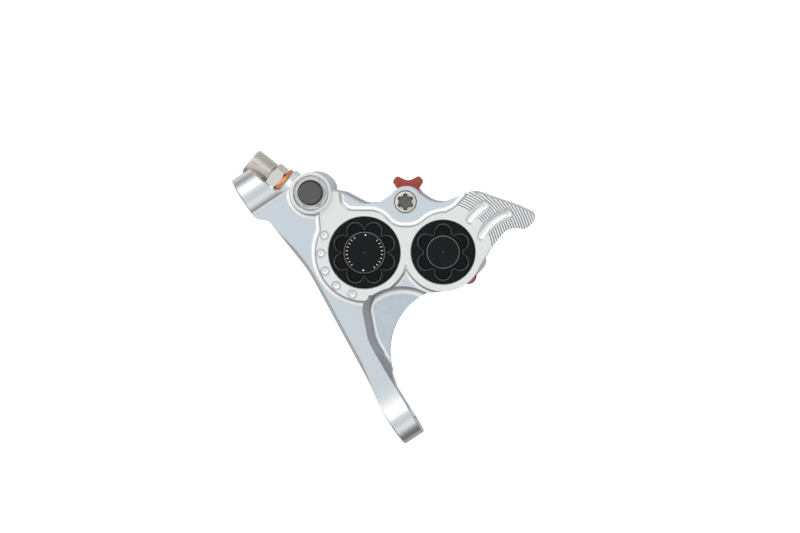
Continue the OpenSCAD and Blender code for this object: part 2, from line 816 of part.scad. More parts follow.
// Rubber dust cap over the bleed screw's nipple
module bleed_cap() {
    edge = 0.7;
    inside = bleed_nipple_r + running;
    length = bleed_seat_y - bleed_hex_len - seat - bleed_tip_y;
    color("darkslategray") translate([bleed_x, bleed_tip_y, bleed_z]) rotate([-90, 0, 0]) difference() {
        union() {
            cylinder(h = edge, r1 = bleed_cap_d / 2 - edge, r2 = bleed_cap_d / 2);
            translate([0, 0, edge]) cylinder(h = length - edge, d = bleed_cap_d);
        }
        translate([0, 0, bleed_cap_roof - running]) cylinder(h = length, r = inside);
    }
}

// Plug in the drilling of the inner half
module passage_plug() {
    socket_depth = 1.4;
    color("dimgray") along_y(plug_at, shelf_back - plug_len) difference() {
        cylinder(h = plug_len, r = plug_r);
        translate([0, 0, plug_len - socket_depth]) cylinder(h = socket_depth + eps, r = 0.9, $fn = 6);
    }
}

caliper_body();
bore_cap_large();
bore_cap_small();
cap_oring_large();
cap_oring_small();
piston_large_outer();
piston_small_outer();
piston_large_inner();
piston_small_inner();
piston_seal_large_outer();
piston_seal_small_outer();
piston_seal_large_inner();
piston_seal_small_inner();
dust_seal_large_outer();
dust_seal_small_outer();
dust_seal_large_inner();
dust_seal_small_inner();
pad_plate_outer();
pad_plate_inner();
pad_lining_outer();
pad_lining_inner();
pad_spring();
pad_pin();
pin_clip();
transport_spacer();
hose_connector();
copper_washer();
bleed_screw();
bleed_cap();
passage_plug();
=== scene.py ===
"""Looks of a four-piston disc brake caliper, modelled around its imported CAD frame.

Pieces are modelled in millimetres in the CAD frame and scaled to metres when they are finished.
X runs along the mount, Z stands off the mount face, Y is the rotor's axis; the caps face -Y.
"""
import json
import math

import bpy
import numpy as np
from mathutils import Matrix, Vector

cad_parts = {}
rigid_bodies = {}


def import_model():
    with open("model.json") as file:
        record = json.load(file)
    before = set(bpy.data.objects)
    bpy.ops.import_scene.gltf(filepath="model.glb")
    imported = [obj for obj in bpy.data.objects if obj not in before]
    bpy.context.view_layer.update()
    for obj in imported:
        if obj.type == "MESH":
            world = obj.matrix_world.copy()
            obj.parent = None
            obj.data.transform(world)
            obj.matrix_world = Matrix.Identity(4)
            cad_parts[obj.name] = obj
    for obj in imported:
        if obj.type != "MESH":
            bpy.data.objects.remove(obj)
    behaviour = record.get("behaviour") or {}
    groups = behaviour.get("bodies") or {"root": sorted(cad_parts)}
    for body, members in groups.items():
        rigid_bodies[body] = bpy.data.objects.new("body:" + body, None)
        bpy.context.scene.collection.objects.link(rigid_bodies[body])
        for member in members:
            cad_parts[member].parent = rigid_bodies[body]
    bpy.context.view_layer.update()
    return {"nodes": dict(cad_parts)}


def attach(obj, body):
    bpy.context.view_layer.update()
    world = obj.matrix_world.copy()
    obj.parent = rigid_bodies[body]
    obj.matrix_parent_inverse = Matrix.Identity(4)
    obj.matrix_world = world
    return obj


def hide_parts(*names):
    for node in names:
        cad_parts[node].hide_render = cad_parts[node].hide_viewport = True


bpy.ops.object.select_all(action="SELECT")
bpy.ops.object.delete()
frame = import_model()
nodes = frame["nodes"]

MM = 0.001

# Places and sizes, as in the part's source
BORE_ANGLE = math.radians(57)
LARGE = (-6.3, 19.1)
BORE_SPACING = 20.3
MIDDLE = (LARGE[0] + BORE_SPACING / 2 * math.cos(BORE_ANGLE),
          LARGE[1] + BORE_SPACING / 2 * math.sin(BORE_ANGLE))
LARGE_AT = (-BORE_SPACING / 2, 0.0)
SMALL_AT = (BORE_SPACING / 2, 0.0)
PIN_AT = (0.4, 13.0)
EAR_R = 4.0
PIN_Y, PIN_SOCKET_Y = -6.4, -4.2
TAIL_TIP = SMALL_AT[0] + 23.6
BLEED = (-26.7, 16.1)
HOSE_SEAT = Vector((-32.75, 10.8, 9.52))
HOSE_ANGLE = math.radians(18)
PLUG_AT = (-21.2, 13.4)
FOOT_X = 35.0
FOOT_R = 6.0
FOOT_H = 6.0
HOSE_FOOT_H = 7.4
BOLT_R = 2.65
RIM_Y, SHELF_Y, ARM_Y, WEB_Y = -9.5, -6.8, -4.2, 0.5
WEB_BACK = 5.5
SLOT_Y0, SLOT_Y1 = 6.0, 18.0
SHELF_BACK, BACK_Y = 27.0, 31.0
CAP_Y, CAP_SEAT_Y = -9.4, -4.6
BORE_END_Y = 28.15
BLEED_Y, BLEED_SEAT_Y, BLEED_TIP_Y = -11.0, -9.4, -14.4
LARGE_R, SMALL_R = 8.0, 7.0
LARGE_CAP_R, SMALL_CAP_R = 9.1, 8.1
LARGE_RIM_R, SMALL_RIM_R, RIM_STEP = 12.4, 10.1, 1.3
BLEED_BOSS_R = 5.45
DIMPLE_RING, DIMPLE_R, DIMPLES = 11.2, 1.25, 5
DIMPLE_FIRST, DIMPLE_STEP = 213.3, 24.3
LARGE_ISLAND_R, SMALL_ISLAND_R, ISLAND_Y = 5.4, 4.3, CAP_Y + 0.3
MARK_R, DOT_R, TICK_FROM, TICK_TO, TICK_WIDE = 4.55, 0.21, 4.3, 4.82, 0.14

# Spacing of the grids that the filleted fronts are raised from
GRID = 0.25

# The photograph's width and scale, and the lens as a distance in its pixels
PHOTO_W, PX_PER_MM, LENS_PX = 800, 3.859, 4000.0
SENSOR = 36.0


def place(p, q):
    """A point of the bore frame on the XZ plane."""
    c, s = math.cos(BORE_ANGLE), math.sin(BORE_ANGLE)
    return (MIDDLE[0] + p * c - q * s, MIDDLE[1] + p * s + q * c)


# Camera, studio and finishes

def studio():
    """Camera at the photograph's angle, a tent graded from front to back and a pale floor."""
    scene = bpy.context.scene
    scene.view_settings.view_transform = "Standard"
    tilt = math.radians(3.0)
    aim = Vector((1.73, -3.0, 24.49)) * MM
    distance = LENS_PX / PX_PER_MM * MM
    right, up = Vector((0.5505, 0, 0.8349)), Vector((-0.8349, 0, 0.5505))
    turn = Matrix((right, up, Vector((0, -1, 0)))).transposed()
    turn = Matrix.Rotation(-tilt, 3, "X") @ turn
    camera = bpy.data.objects.new("camera", bpy.data.cameras.new("camera"))
    camera.data.sensor_width = SENSOR
    camera.data.lens = LENS_PX / PHOTO_W * SENSOR
    camera.data.clip_start = 0.01
    camera.matrix_world = Matrix.Translation(aim + turn.col[2] * distance) @ turn.to_4x4()
    scene.collection.objects.link(camera)
    scene.camera = camera

    world = bpy.data.worlds.new("tent")
    scene.world = world
    world.use_nodes = True
    tree = world.node_tree
    tree.nodes.clear()
    out = tree.nodes.new("ShaderNodeOutputWorld")
    seen = tree.nodes.new("ShaderNodeBackground")
    seen.inputs["Color"].default_value = (1, 1, 1, 1)
    seen.inputs["Strength"].default_value = 1.15
    tent = tree.nodes.new("ShaderNodeBackground")
    place_in = tree.nodes.new("ShaderNodeTexCoord")
    split = tree.nodes.new("ShaderNodeSeparateXYZ")
    tree.links.new(place_in.outputs["Generated"], split.inputs[0])
    ramp = tree.nodes.new("ShaderNodeValToRGB")
    remap = tree.nodes.new("ShaderNodeMapRange")
    remap.inputs["From Min"].default_value = -1
    remap.inputs["From Max"].default_value = 1
    tree.links.new(split.outputs["Y"], remap.inputs["Value"])
    tree.links.new(remap.outputs[0], ramp.inputs["Fac"])
    stops = ramp.color_ramp.elements
    stops[0].position, stops[0].color = 0.0, (0.64, 0.70, 0.74, 1)
    stops[1].position, stops[1].color = 1.0, (0.40, 0.43, 0.46, 1)
    for at, tone in ((0.03, (0.72, 0.77, 0.80)), (0.065, (1.08, 1.08, 1.07)), (0.20, (1.15, 1.15, 1.14)),
                     (0.27, (0.74, 0.76, 0.78)), (0.38, (0.42, 0.44, 0.46)), (0.48, (0.28, 0.29, 0.31)),
                     (0.65, (0.25, 0.26, 0.27)), (0.70, (0.42, 0.42, 0.43)), (0.80, (0.55, 0.55, 0.55)),
                     (0.93, (0.58, 0.58, 0.58)), (0.975, (0.40, 0.43, 0.46))):
        stop = stops.new(at)
        stop.color = (*tone, 1)
    side = tree.nodes.new("ShaderNodeMapRange")
    side.inputs["From Min"].default_value = -1
    side.inputs["From Max"].default_value = 1
    side.inputs["To Min"].default_value = 1.4
    side.inputs["To Max"].default_value = 0.6
    tree.links.new(split.outputs["X"], side.inputs["Value"])
    tree.links.new(side.outputs[0], tent.inputs["Strength"])
    over = tree.nodes.new("ShaderNodeMapRange")
    over.interpolation_type = "SMOOTHSTEP"
    over.inputs["From Min"].default_value = 0.72
    over.inputs["From Max"].default_value = 0.96
    tree.links.new(split.outputs["Z"], over.inputs["Value"])
    top = tree.nodes.new("ShaderNodeMixRGB")
    top.inputs["Color2"].default_value = (0.66, 0.68, 0.70, 1)
    tree.links.new(over.outputs[0], top.inputs["Fac"])
    tree.links.new(ramp.outputs["Color"], top.inputs["Color1"])
    tree.links.new(top.outputs["Color"], tent.inputs["Color"])
    fill = tree.nodes.new("ShaderNodeBackground")
    fill.inputs["Color"].default_value = (1, 1, 1, 1)
    fill.inputs["Strength"].default_value = 1.2
    rays = tree.nodes.new("ShaderNodeLightPath")
    soft = tree.nodes.new("ShaderNodeMixShader")
    tree.links.new(rays.outputs["Is Diffuse Ray"], soft.inputs[0])
    tree.links.new(tent.outputs[0], soft.inputs[1])
    tree.links.new(fill.outputs[0], soft.inputs[2])
    choice = tree.nodes.new("ShaderNodeMixShader")
    tree.links.new(rays.outputs["Is Camera Ray"], choice.inputs[0])
    tree.links.new(soft.outputs[0], choice.inputs[1])
    tree.links.new(seen.outputs[0], choice.inputs[2])
    tree.links.new(choice.outputs[0], out.inputs["Surface"])

    release()
    bpy.ops.mesh.primitive_plane_add(size=30.0, location=(0, 0, -0.0004))
    floor = bpy.context.object
    floor.name = "floor"
    paper = bpy.data.materials.new("pale_paper")
    paper.use_nodes = True
    sheet = paper.node_tree.nodes["Principled BSDF"].inputs
    sheet["Base Color"].default_value = (0.2, 0.2, 0.2, 1)
    sheet["Emission Color"].default_value = (1, 1, 1, 1)
    sheet["Emission Strength"].default_value = 0.95
    sheet["Roughness"].default_value = 0.9
    floor.data.materials.append(paper)
    floor.visible_glossy = False


def finish(name, colours, metallic, roughness, grain, bump=0.0, stretch=(1, 1, 1), specular=0.5,
           sheen=0.0):
    """A material with colour and roughness that vary over a fine grain, given in millimetres."""
    mat = bpy.data.materials.new(name)
    mat.use_nodes = True
    tree = mat.node_tree
    shader = tree.nodes["Principled BSDF"]
    shader.inputs["Metallic"].default_value = metallic
    shader.inputs["Specular IOR Level"].default_value = specular
    where = tree.nodes.new("ShaderNodeTexCoord")
    scale = tree.nodes.new("ShaderNodeMapping")
    scale.inputs["Scale"].default_value = tuple(k / (grain * MM) for k in stretch)
    tree.links.new(where.outputs["Object"], scale.inputs["Vector"])
    fine = tree.nodes.new("ShaderNodeTexNoise")
    fine.inputs["Scale"].default_value = 1.0
    fine.inputs["Detail"].default_value = 4.0
    tree.links.new(scale.outputs[0], fine.inputs["Vector"])
    wide = tree.nodes.new("ShaderNodeTexNoise")
    wide.inputs["Scale"].default_value = 90.0
    wide.inputs["Detail"].default_value = 2.0
    tree.links.new(where.outputs["Object"], wide.inputs["Vector"])
    both = tree.nodes.new("ShaderNodeMath")
    both.operation = "MULTIPLY_ADD"
    both.inputs[1].default_value = 0.5
    tree.links.new(fine.outputs["Fac"], both.inputs[0])
    half = tree.nodes.new("ShaderNodeMath")
    half.operation = "MULTIPLY"
    half.inputs[1].default_value = 0.5
    tree.links.new(wide.outputs["Fac"], half.inputs[0])
    tree.links.new(half.outputs[0], both.inputs[2])
    ramp = tree.nodes.new("ShaderNodeValToRGB")
    ramp.color_ramp.elements[0].position = 0.3
    ramp.color_ramp.elements[1].position = 0.7
    for stop, colour in zip(ramp.color_ramp.elements, colours):
        stop.color = (*colour, 1)
    tree.links.new(both.outputs[0], ramp.inputs["Fac"])
    tree.links.new(ramp.outputs["Color"], shader.inputs["Base Color"])
    gloss = tree.nodes.new("ShaderNodeMapRange")
    gloss.inputs["From Min"].default_value = 0.3
    gloss.inputs["From Max"].default_value = 0.7
    gloss.inputs["To Min"].default_value = roughness[0]
    gloss.inputs["To Max"].default_value = roughness[1]
    tree.links.new(fine.outputs["Fac"], gloss.inputs["Value"])
    tree.links.new(gloss.outputs[0], shader.inputs["Roughness"])
    if bump:
        relief = tree.nodes.new("ShaderNodeBump")
        relief.inputs["Strength"].default_value = bump
        relief.inputs["Distance"].default_value = grain * MM * 0.2
        tree.links.new(fine.outputs["Fac"], relief.inputs["Height"])
        tree.links.new(relief.outputs[0], shader.inputs["Normal"])
    if sheen:
        shader.inputs["Anisotropic"].default_value = sheen
        turn = tree.nodes.new("ShaderNodeTangent")
        turn.direction_type = "RADIAL"
        turn.axis = "Y"
        tree.links.new(turn.outputs[0], shader.inputs["Tangent"])
    return mat


MILLED = finish("milled_aluminium", ((0.84, 0.85, 0.86), (0.90, 0.90, 0.90)), 1.0, (0.20, 0.28), 0.5, 0.05)
# Milled aluminium with a much darker base colour: painted shade on the leaning wall from the web up to the
# arm.
WALL_PAINTED_SHADE = finish("milled_wall_painted_shade", ((0.36, 0.38, 0.395), (0.45, 0.47, 0.485)), 1.0, (0.26, 0.36), 0.4, 0.08)
# Milled aluminium with a darker base colour: painted shade in the furrows between the tail's ribs.
FURROW_PAINTED_SHADE = finish("milled_furrow_painted_shade", ((0.48, 0.50, 0.53), (0.60, 0.62, 0.65)), 1.0, (0.26, 0.36), 0.4, 0.08)
FACED = finish("faced_aluminium", ((0.94, 0.93, 0.905), (0.98, 0.975, 0.955)), 1.0, (0.42, 0.52), 0.3, 0.08)
ARM_FLAT = finish("satin_aluminium", ((0.86, 0.88, 0.90), (0.90, 0.92, 0.93)), 1.0, (0.22, 0.27), 0.25, 0.05)
# Rougher finish for the profiled sides. Its roughness is real, and its base colour, darker than the milled
# faces, is painted shade.
SIDE_PAINTED_SHADE = finish("profiled_side_painted_shade", ((0.74, 0.75, 0.765), (0.80, 0.81, 0.825)), 1.0, (0.50, 0.60), 0.4, 0.10)
# Satin aluminium finish. Its darker, bluer base colour is painted shade on the sunk web floor.
WEB_FLAT_PAINTED_SHADE = finish("satin_web_painted_shade", ((0.72, 0.755, 0.775), (0.79, 0.825, 0.845)), 1.0, (0.23, 0.29), 1.3, 0.05)
ANODISED = finish("black_anodised", ((0.003, 0.003, 0.003), (0.005, 0.005, 0.005)), 0.0, (0.24, 0.32), 0.12,
                  0.06, specular=0.16)
ISLAND = finish("black_turned", ((0.006, 0.006, 0.007), (0.011, 0.011, 0.012)), 0.5, (0.26, 0.34), 0.12, 0.03,
                specular=0.25, sheen=0.85)
# Steel darkened towards black: painted shade inside the pin's socket.
SOCKET_PAINTED_SHADE = finish("socket_steel_painted_shade", ((0.015, 0.014, 0.012), (0.30, 0.28, 0.25)), 0.9, (0.25, 0.5), 0.7, 0.5)
# Lighter grey for the island's broken edge among the black: painted highlight.
PAINTED_ISLAND_HIGHLIGHT = finish("island_edge_painted_highlight", ((0.10, 0.10, 0.10), (0.20, 0.20, 0.20)), 0.7, (0.20, 0.30), 0.1, 0.03)
# Lighter grey on the narrow ledge round the cap's lobes: painted highlight.
PAINTED_LOBE_HIGHLIGHT = finish("lobe_ledge_painted_highlight", ((0.09, 0.09, 0.09), (0.14, 0.14, 0.14)), 0.9, (0.22, 0.32), 0.1, 0.03)
RUBBER = finish("cap_rubber", ((0.009, 0.009, 0.010), (0.016, 0.016, 0.017)), 0.0, (0.5, 0.7), 0.25, 0.15,
                specular=0.3)
# Lighter grey copy of the cap rubber for the faces that look forward: painted light, with the sides left
# dark.
RUBBER_PAINTED_LIT_TOP = finish("cap_rubber_painted_lit_top", ((0.070, 0.070, 0.066), (0.100, 0.100, 0.095)), 0.0, (0.6, 0.8), 0.3,
                    0.2, specular=0.3)
SEAL = finish("seal_rubber", ((0.010, 0.010, 0.010), (0.018, 0.018, 0.018)), 0.0, (0.45, 0.6), 0.2, 0.1)
STEEL = finish("stainless", ((0.70, 0.66, 0.615), (0.82, 0.78, 0.735)), 1.0, (0.18, 0.28), 0.15, 0.05)
SPRING = finish("spring_steel", ((0.14, 0.14, 0.145), (0.22, 0.22, 0.225)), 1.0, (0.25, 0.4), 0.3, 0.05,
                (1, 6, 1))
PLATE = finish("plated_steel", ((0.30, 0.30, 0.31), (0.42, 0.42, 0.43)), 1.0, (0.35, 0.5), 0.4, 0.1)
LINING = finish("pad_lining", ((0.035, 0.028, 0.022), (0.16, 0.11, 0.07)), 0.0, (0.8, 0.95), 0.35, 0.6)
COPPER = finish("copper", ((0.72, 0.26, 0.09), (0.86, 0.36, 0.15)), 1.0, (0.22, 0.36), 0.3, 0.08)
PHENOLIC = finish("phenolic", ((0.05, 0.045, 0.04), (0.10, 0.09, 0.08)), 0.0, (0.4, 0.55), 0.25, 0.1)
RED = finish("red_plastic", ((0.38, 0.046, 0.039), (0.47, 0.072, 0.058)), 0.0, (0.45, 0.6), 0.35, 0.25)
MARK = finish("white_mark", ((0.70, 0.70, 0.69), (0.80, 0.80, 0.79)), 0.0, (0.5, 0.65), 0.1, 0.1)


# Selecting, joining and finishing

def release():
    """Leaves edit mode and selects nothing."""
    if bpy.context.mode != "OBJECT":
        bpy.ops.object.mode_set(mode="OBJECT")
    bpy.ops.object.select_all(action="DESELECT")


def take(piece):
    """Selects one piece alone and makes it the active one."""
    release()
    piece.select_set(True)
    bpy.context.view_layer.objects.active = piece


def points_of(piece):
    """The points of a piece's mesh, one row each."""
    co = np.empty(len(piece.data.vertices) * 3)
    piece.data.vertices.foreach_get("co", co)
    return co.reshape(-1, 3)


def put_points(piece, co):
    """Moves the points of a piece's mesh to the given places."""
    piece.data.vertices.foreach_set("co", np.asarray(co, float).ravel())
    piece.data.update()


def outward(piece):
    """Turns all faces of a closed mesh outwards."""
    take(piece)
    bpy.ops.object.mode_set(mode="EDIT")
    bpy.ops.mesh.select_all(action="SELECT")
    bpy.ops.mesh.normals_make_consistent(inside=False)
    bpy.ops.object.mode_set(mode="OBJECT")


def combine(piece, other, how):
    """Joins, cuts or keeps the common part of two solids."""
    take(piece)
    step = piece.modifiers.new("combine", "BOOLEAN")
    step.operation = how
    step.solver = "MANIFOLD"
    step.object = other
    bpy.ops.object.modifier_apply(modifier=step.name)
    bpy.data.objects.remove(other)


def merge_flats(piece, degrees=0.2):
    """Merges the small faces of flat areas into single faces."""
    take(piece)
    bpy.ops.object.mode_set(mode="EDIT")
    bpy.ops.mesh.select_all(action="SELECT")
    bpy.ops.mesh.dissolve_limited(angle_limit=math.radians(degrees))
    bpy.ops.object.mode_set(mode="OBJECT")


def break_edges(piece, width, steps, wanted, sharp=35):
    """Bevels the sharp edges whose two ends both pass the test."""
    take(piece)
    bpy.context.tool_settings.mesh_select_mode = (False, True, False)
    bpy.ops.object.mode_set(mode="EDIT")
    bpy.ops.mesh.select_all(action="DESELECT")
    bpy.ops.mesh.edges_select_sharp(sharpness=math.radians(sharp))
    bpy.ops.object.mode_set(mode="OBJECT")
    co = points_of(piece)
    for edge in piece.data.edges:
        if edge.select:
            a, b = edge.vertices
            edge.select = bool(wanted(co[a]) and wanted(co[b]))
    picked = [e.index for e in piece.data.edges if e.select]
    piece.data.vertices.foreach_set("select", np.zeros(len(piece.data.vertices), bool))
    piece.data.polygons.foreach_set("select", np.zeros(len(piece.data.polygons), bool))
    for index in picked:
        piece.data.edges[index].select = True
    bpy.ops.object.mode_set(mode="EDIT")
    bpy.ops.mesh.bevel(offset=width, segments=steps, profile=0.5, affect="EDGES", clamp_overlap=True)
    bpy.ops.object.mode_set(mode="OBJECT")


def finished(piece, name, body, material, replaced=(), smooth=32):
    """Scales a piece to metres, shades it and hands it to its body."""
    take(piece)
    piece.scale = (MM, MM, MM)
    bpy.ops.object.transform_apply(location=True, rotation=True, scale=True)
    bpy.ops.object.shade_smooth_by_angle(angle=math.radians(smooth))
    even = piece.modifiers.new("even", "WEIGHTED_NORMAL")
    even.keep_sharp = True
    bpy.ops.object.modifier_apply(modifier=even.name)
    piece.name = name
    if material is not None:
        piece.data.materials.clear()
        piece.data.materials.append(material)
    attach(piece, body)
    if replaced:
        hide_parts(*replaced)
    return piece


# Outlines

def arc(centre, r, start, end, count):
    """Points on an arc, angles in degrees."""
    turns = np.radians(np.linspace(start, end, count))
    return [(centre[0] + r * math.cos(t), centre[1] + r * math.sin(t)) for t in turns]


def circle(centre, r, count=96):
    """Points on a full circle."""
    return arc(centre, r, 0, 360 - 360 / count, count)


def rounded(corners, steps=9):
    """Corners (x, y, radius) as an outline with each corner rounded to its radius."""
    out = []
    for i, (bx, by, r) in enumerate(corners):
        if r == 0:
            out.append((bx, by))
            continue
        b = Vector((bx, by))
        u = (Vector(corners[i - 1][:2]) - b).normalized()
        w = (Vector(corners[(i + 1) % len(corners)][:2]) - b).normalized()
        half = math.acos(max(-1.0, min(1.0, u.dot(w)))) / 2
        centre = b + (u + w).normalized() * (r / math.sin(half))
        first = b + u * (r / math.tan(half)) - centre
        last = b + w * (r / math.tan(half)) - centre
        side = 1 if first.x * last.y - first.y * last.x > 0 else -1
        for k in range(steps + 1):
            t = side * (math.pi - 2 * half) * k / steps
            out.append((centre.x + first.x * math.cos(t) - first.y * math.sin(t),
                        centre.y + first.x * math.sin(t) + first.y * math.cos(t)))
    return out


def at_bores(outline):
    """An outline of the bore frame, moved to the XZ plane."""
    return [place(p, q) for p, q in outline]


def crown(shoulder=0.0):
    """Outline of the body's upper half, from the bleed shoulder over the ear to the tail."""
    t, bore, (px, pq) = TAIL_TIP, SMALL_AT[0], PIN_AT
    return rounded([
        (LARGE_AT[0] - 11 - shoulder, 4, 0), (bore, -3, 0), (bore + 9.6, -3.4, 0), (bore + 12, 0.6, 4),
        (t - 6.8, 6.2, 4), (t - 2.2, 5.7, 2.2), (t + 1.2, 8.9, 1.8), (t - 4.6, 11.6, 6), (17.6, 15.7, 5),
        (9.4, 12.6, 4), (6.6, 13.1, 6), (px + 2.2, pq + 2.9, 0), (px - 2.2, pq + 2.9, 0), (-6.2, 12.9, 6),
        (-10.6, 12.4, 4), (-16.2, 15.4, 3), (-22 - shoulder, 17.2, 2)])


def hull(large, small):
    """Outline round two circles at the bores, with straight sides between them."""
    tilt = math.degrees(math.asin((large - small) / BORE_SPACING))
    return arc(LARGE_AT, large, 90 - tilt, 270 + tilt, 72) + arc(SMALL_AT, small, tilt - 90, 90 - tilt, 56)


# Bounds of the raised face and of the cuts in it, in the bore frame
POCKET = rounded([
    (16.95, 22, 0), (-17.3, 22, 0), (-16.4, 12.6, 1.5), (-14.4, 10.7, 3.6), (PIN_AT[0] - 6.6, 10.6, 5.8),
    (PIN_AT[0] - 3, 6.4, 5.4), (PIN_AT[0] + 3, 6.4, 6), (PIN_AT[0] + 6.8, 9.6, 8), (12.55, 10.4, 7),
    (16.25, 14.4, 1)], 12)
SCOOP_AT, SCOOP_R = (-0.8, -22.3), 13.5
TAIL_ZONE = [(SMALL_AT[0] + 1, 0), (SMALL_AT[0] + 6, -6), (SMALL_AT[0] + 29.6, -6),
             (SMALL_AT[0] + 29.6, 18), (SMALL_AT[0] + 6, 18), (SMALL_AT[0] + 1, SMALL_RIM_R)]
SHOULDER = [(-23, 4), (-15, 4), (-15, 18), (-23, 18)]
NECK = [(-5, -2.6), (6, -2.6), (6, 12), (-5, 12)]
BAND = [(-34, -12.4), (LARGE_AT[0] + 0.9, -12.4), (LARGE_AT[0] + 0.9, 12.4), (-34, 12.4)]
# Arm and web, on the XZ plane
ARM = rounded([
    (-FOOT_X, 0.2, 0), (-FOOT_X + 5.9, 0.2, 1), (-FOOT_X + 8.2, 2.6, 2), (-10.5, 4.1, 40),
    (FOOT_X - 12, 1.2, 8), (FOOT_X - 6.5, 0.2, 1), (FOOT_X, 0.2, 0), (FOOT_X, FOOT_H, 0),
    (FOOT_X - 11, FOOT_H + 0.3, 16), (13.5, FOOT_H + 0.9, 14), (4.6, 10.6, 6), (2.4, 15.5, 0),
    (LARGE[0], LARGE[1] + 6, 0), (BLEED[0] + 2, BLEED[1] + 3, 0), (BLEED[0] - 3.2, BLEED[1] - 2.6, 3),
    (-FOOT_X + 3.2, HOSE_FOOT_H + 1, 1), (-FOOT_X, HOSE_FOOT_H, 0)], 14)
NOTCH_AT, NOTCH_R = (28.2, 24.0), 17.0
WEB = [(LARGE[0], 6), (FOOT_X - 5, FOOT_H - 0.4), (FOOT_X - 11.5, FOOT_H + 1.3), (22, 27),
       place(SMALL_AT[0], -SMALL_RIM_R + 1), place(*LARGE_AT)]
# Rotor slot, cap ledge and the tail's ribs
SLOT_HALF = 18.6
ROTOR_AT, ROTOR_R = (0.0, -70.2), 81.5
LOBE_LEDGE = 0.12
RIB_START, RIB_END, TAIL_FALL = SMALL_RIM_R + 2.2, 28.6, 4.4
RIB_PITCH, RIB_LAND, RIB_WALL, RIB_DEEP = 0.65, 0.34, 0.07, 0.38
RIB_COUNT = int((RIB_END - RIB_START) / RIB_PITCH)
RIB_SLOPE = TAIL_FALL / (RIB_COUNT * RIB_PITCH)


# Solids

def plate(outline, front, back):
    """An XZ outline given its depth along Y."""
    release()
    bpy.ops.mesh.primitive_circle_add(vertices=len(outline), fill_type="NGON")
    piece = bpy.context.object
    put_points(piece, [(x, front, z) for x, z in outline])
    bpy.ops.object.mode_set(mode="EDIT")
    bpy.ops.mesh.select_all(action="SELECT")
    bpy.ops.mesh.extrude_region_move(TRANSFORM_OT_translate={"value": (0, back - front, 0)})
    bpy.ops.object.mode_set(mode="OBJECT")
    outward(piece)
    return piece


def turned(profile, matrix, count=96):
    """A closed profile (radius, height) spun about the local Z axis and set in place."""
    release()
    bpy.ops.mesh.primitive_circle_add(vertices=len(profile), fill_type="NOTHING")
    piece = bpy.context.object
    put_points(piece, [(r, 0, h) for r, h in profile])
    bpy.ops.object.mode_set(mode="EDIT")
    bpy.ops.mesh.select_all(action="SELECT")
    bpy.ops.mesh.spin(steps=count, angle=math.tau, center=(0, 0, 0), axis=(0, 0, 1))
    bpy.ops.mesh.select_all(action="SELECT")
    bpy.ops.mesh.remove_doubles(threshold=0.0005)
    bpy.ops.mesh.dissolve_degenerate(threshold=0.0001)
    bpy.ops.object.mode_set(mode="OBJECT")
    piece.data.transform(matrix)
    outward(piece)
    return piece


def along_y(at, y):
    """Turns local +Z to +Y and moves it to a place on the XZ plane."""
    return Matrix.Translation((at[0], y, at[1])) @ Matrix.Rotation(-math.pi / 2, 4, "X")


def rod(at, y0, y1, r, count=96):
    """A round bar or drilling along Y."""
    return plate(circle(at, r, count), y0, y1)


def port_frame():
    """Turns local +Z into the hose port and moves it to the port's face."""
    return Matrix.Translation(HOSE_SEAT) @ Matrix.Rotation(math.pi / 2 - HOSE_ANGLE, 4, "Y")


def gap_to(outline, x, z):
    """Distance of grid points from an outline, negative inside it."""
    best = np.full(x.shape, 1e9)
    inside = np.zeros(x.shape, bool)
    for i in range(len(outline)):
        (ax, az), (bx, bz) = outline[i - 1], outline[i]
        ex, ez = bx - ax, bz - az
        t = np.clip(((x - ax) * ex + (z - az) * ez) / (ex * ex + ez * ez + 1e-12), 0, 1)
        best = np.minimum(best, (x - ax - t * ex) ** 2 + (z - az - t * ez) ** 2)
        if az != bz:
            inside ^= ((az > z) != (bz > z)) & (x < ex * (z - az) / ez + ax)
    return np.where(inside, -1, 1) * np.sqrt(best)


def fillet(gap, base, r):
    """Height of a concave fillet of radius r at the foot of a wall, on a floor at height base."""
    run = r - np.clip(gap + 1.2 * GRID, 0, r)
    return base + r - np.sqrt(np.maximum(r * r - run * run, 0))


def drafted(gap, base, rise, angle, r):
    """Height of a leaning wall with a small fillet of radius r at its foot, on a floor at height base."""
    touch = rise / math.tan(angle) + r * math.tan(angle / 2)
    run = np.clip(touch - gap, 0, r * math.sin(angle))
    wall = np.minimum(rise - gap * math.tan(angle), rise + 0.15)
    return base + np.where(touch - gap > r * math.sin(angle), wall, r - np.sqrt(r * r - run * run))


def skin(outline, low, high, height, back):
    """A solid whose front is a fine grid raised to the height, cut to an outline."""
    release()
    nx = int((high[0] - low[0]) / GRID)
    nz = int((high[1] - low[1]) / GRID)
    bpy.ops.mesh.primitive_grid_add(x_subdivisions=nx, y_subdivisions=nz, size=2)
    piece = bpy.context.object
    co = points_of(piece)
    x = low[0] + (co[:, 0] + 1) / 2 * (high[0] - low[0])
    z = low[1] + (co[:, 1] + 1) / 2 * (high[1] - low[1])
    put_points(piece, np.stack([x, -height(x, z), z], 1))
    bpy.ops.object.mode_set(mode="EDIT")
    bpy.ops.mesh.select_all(action="SELECT")
    bpy.ops.mesh.extrude_region_move(TRANSFORM_OT_translate={"value": (0, 40, 0)})
    bpy.ops.transform.resize(value=(1, 0, 1), center_override=(0, back, 0))
    bpy.ops.object.mode_set(mode="OBJECT")
    outward(piece)
    combine(piece, plate(outline, -14, back + 1), "INTERSECT")
    merge_flats(piece)
    return piece


def reach(outline, margin=0.8):
    """Low and high corner of a box a little larger than an outline."""
    pts = np.array(outline)
    return tuple(pts.min(0) - margin), tuple(pts.max(0) + margin)


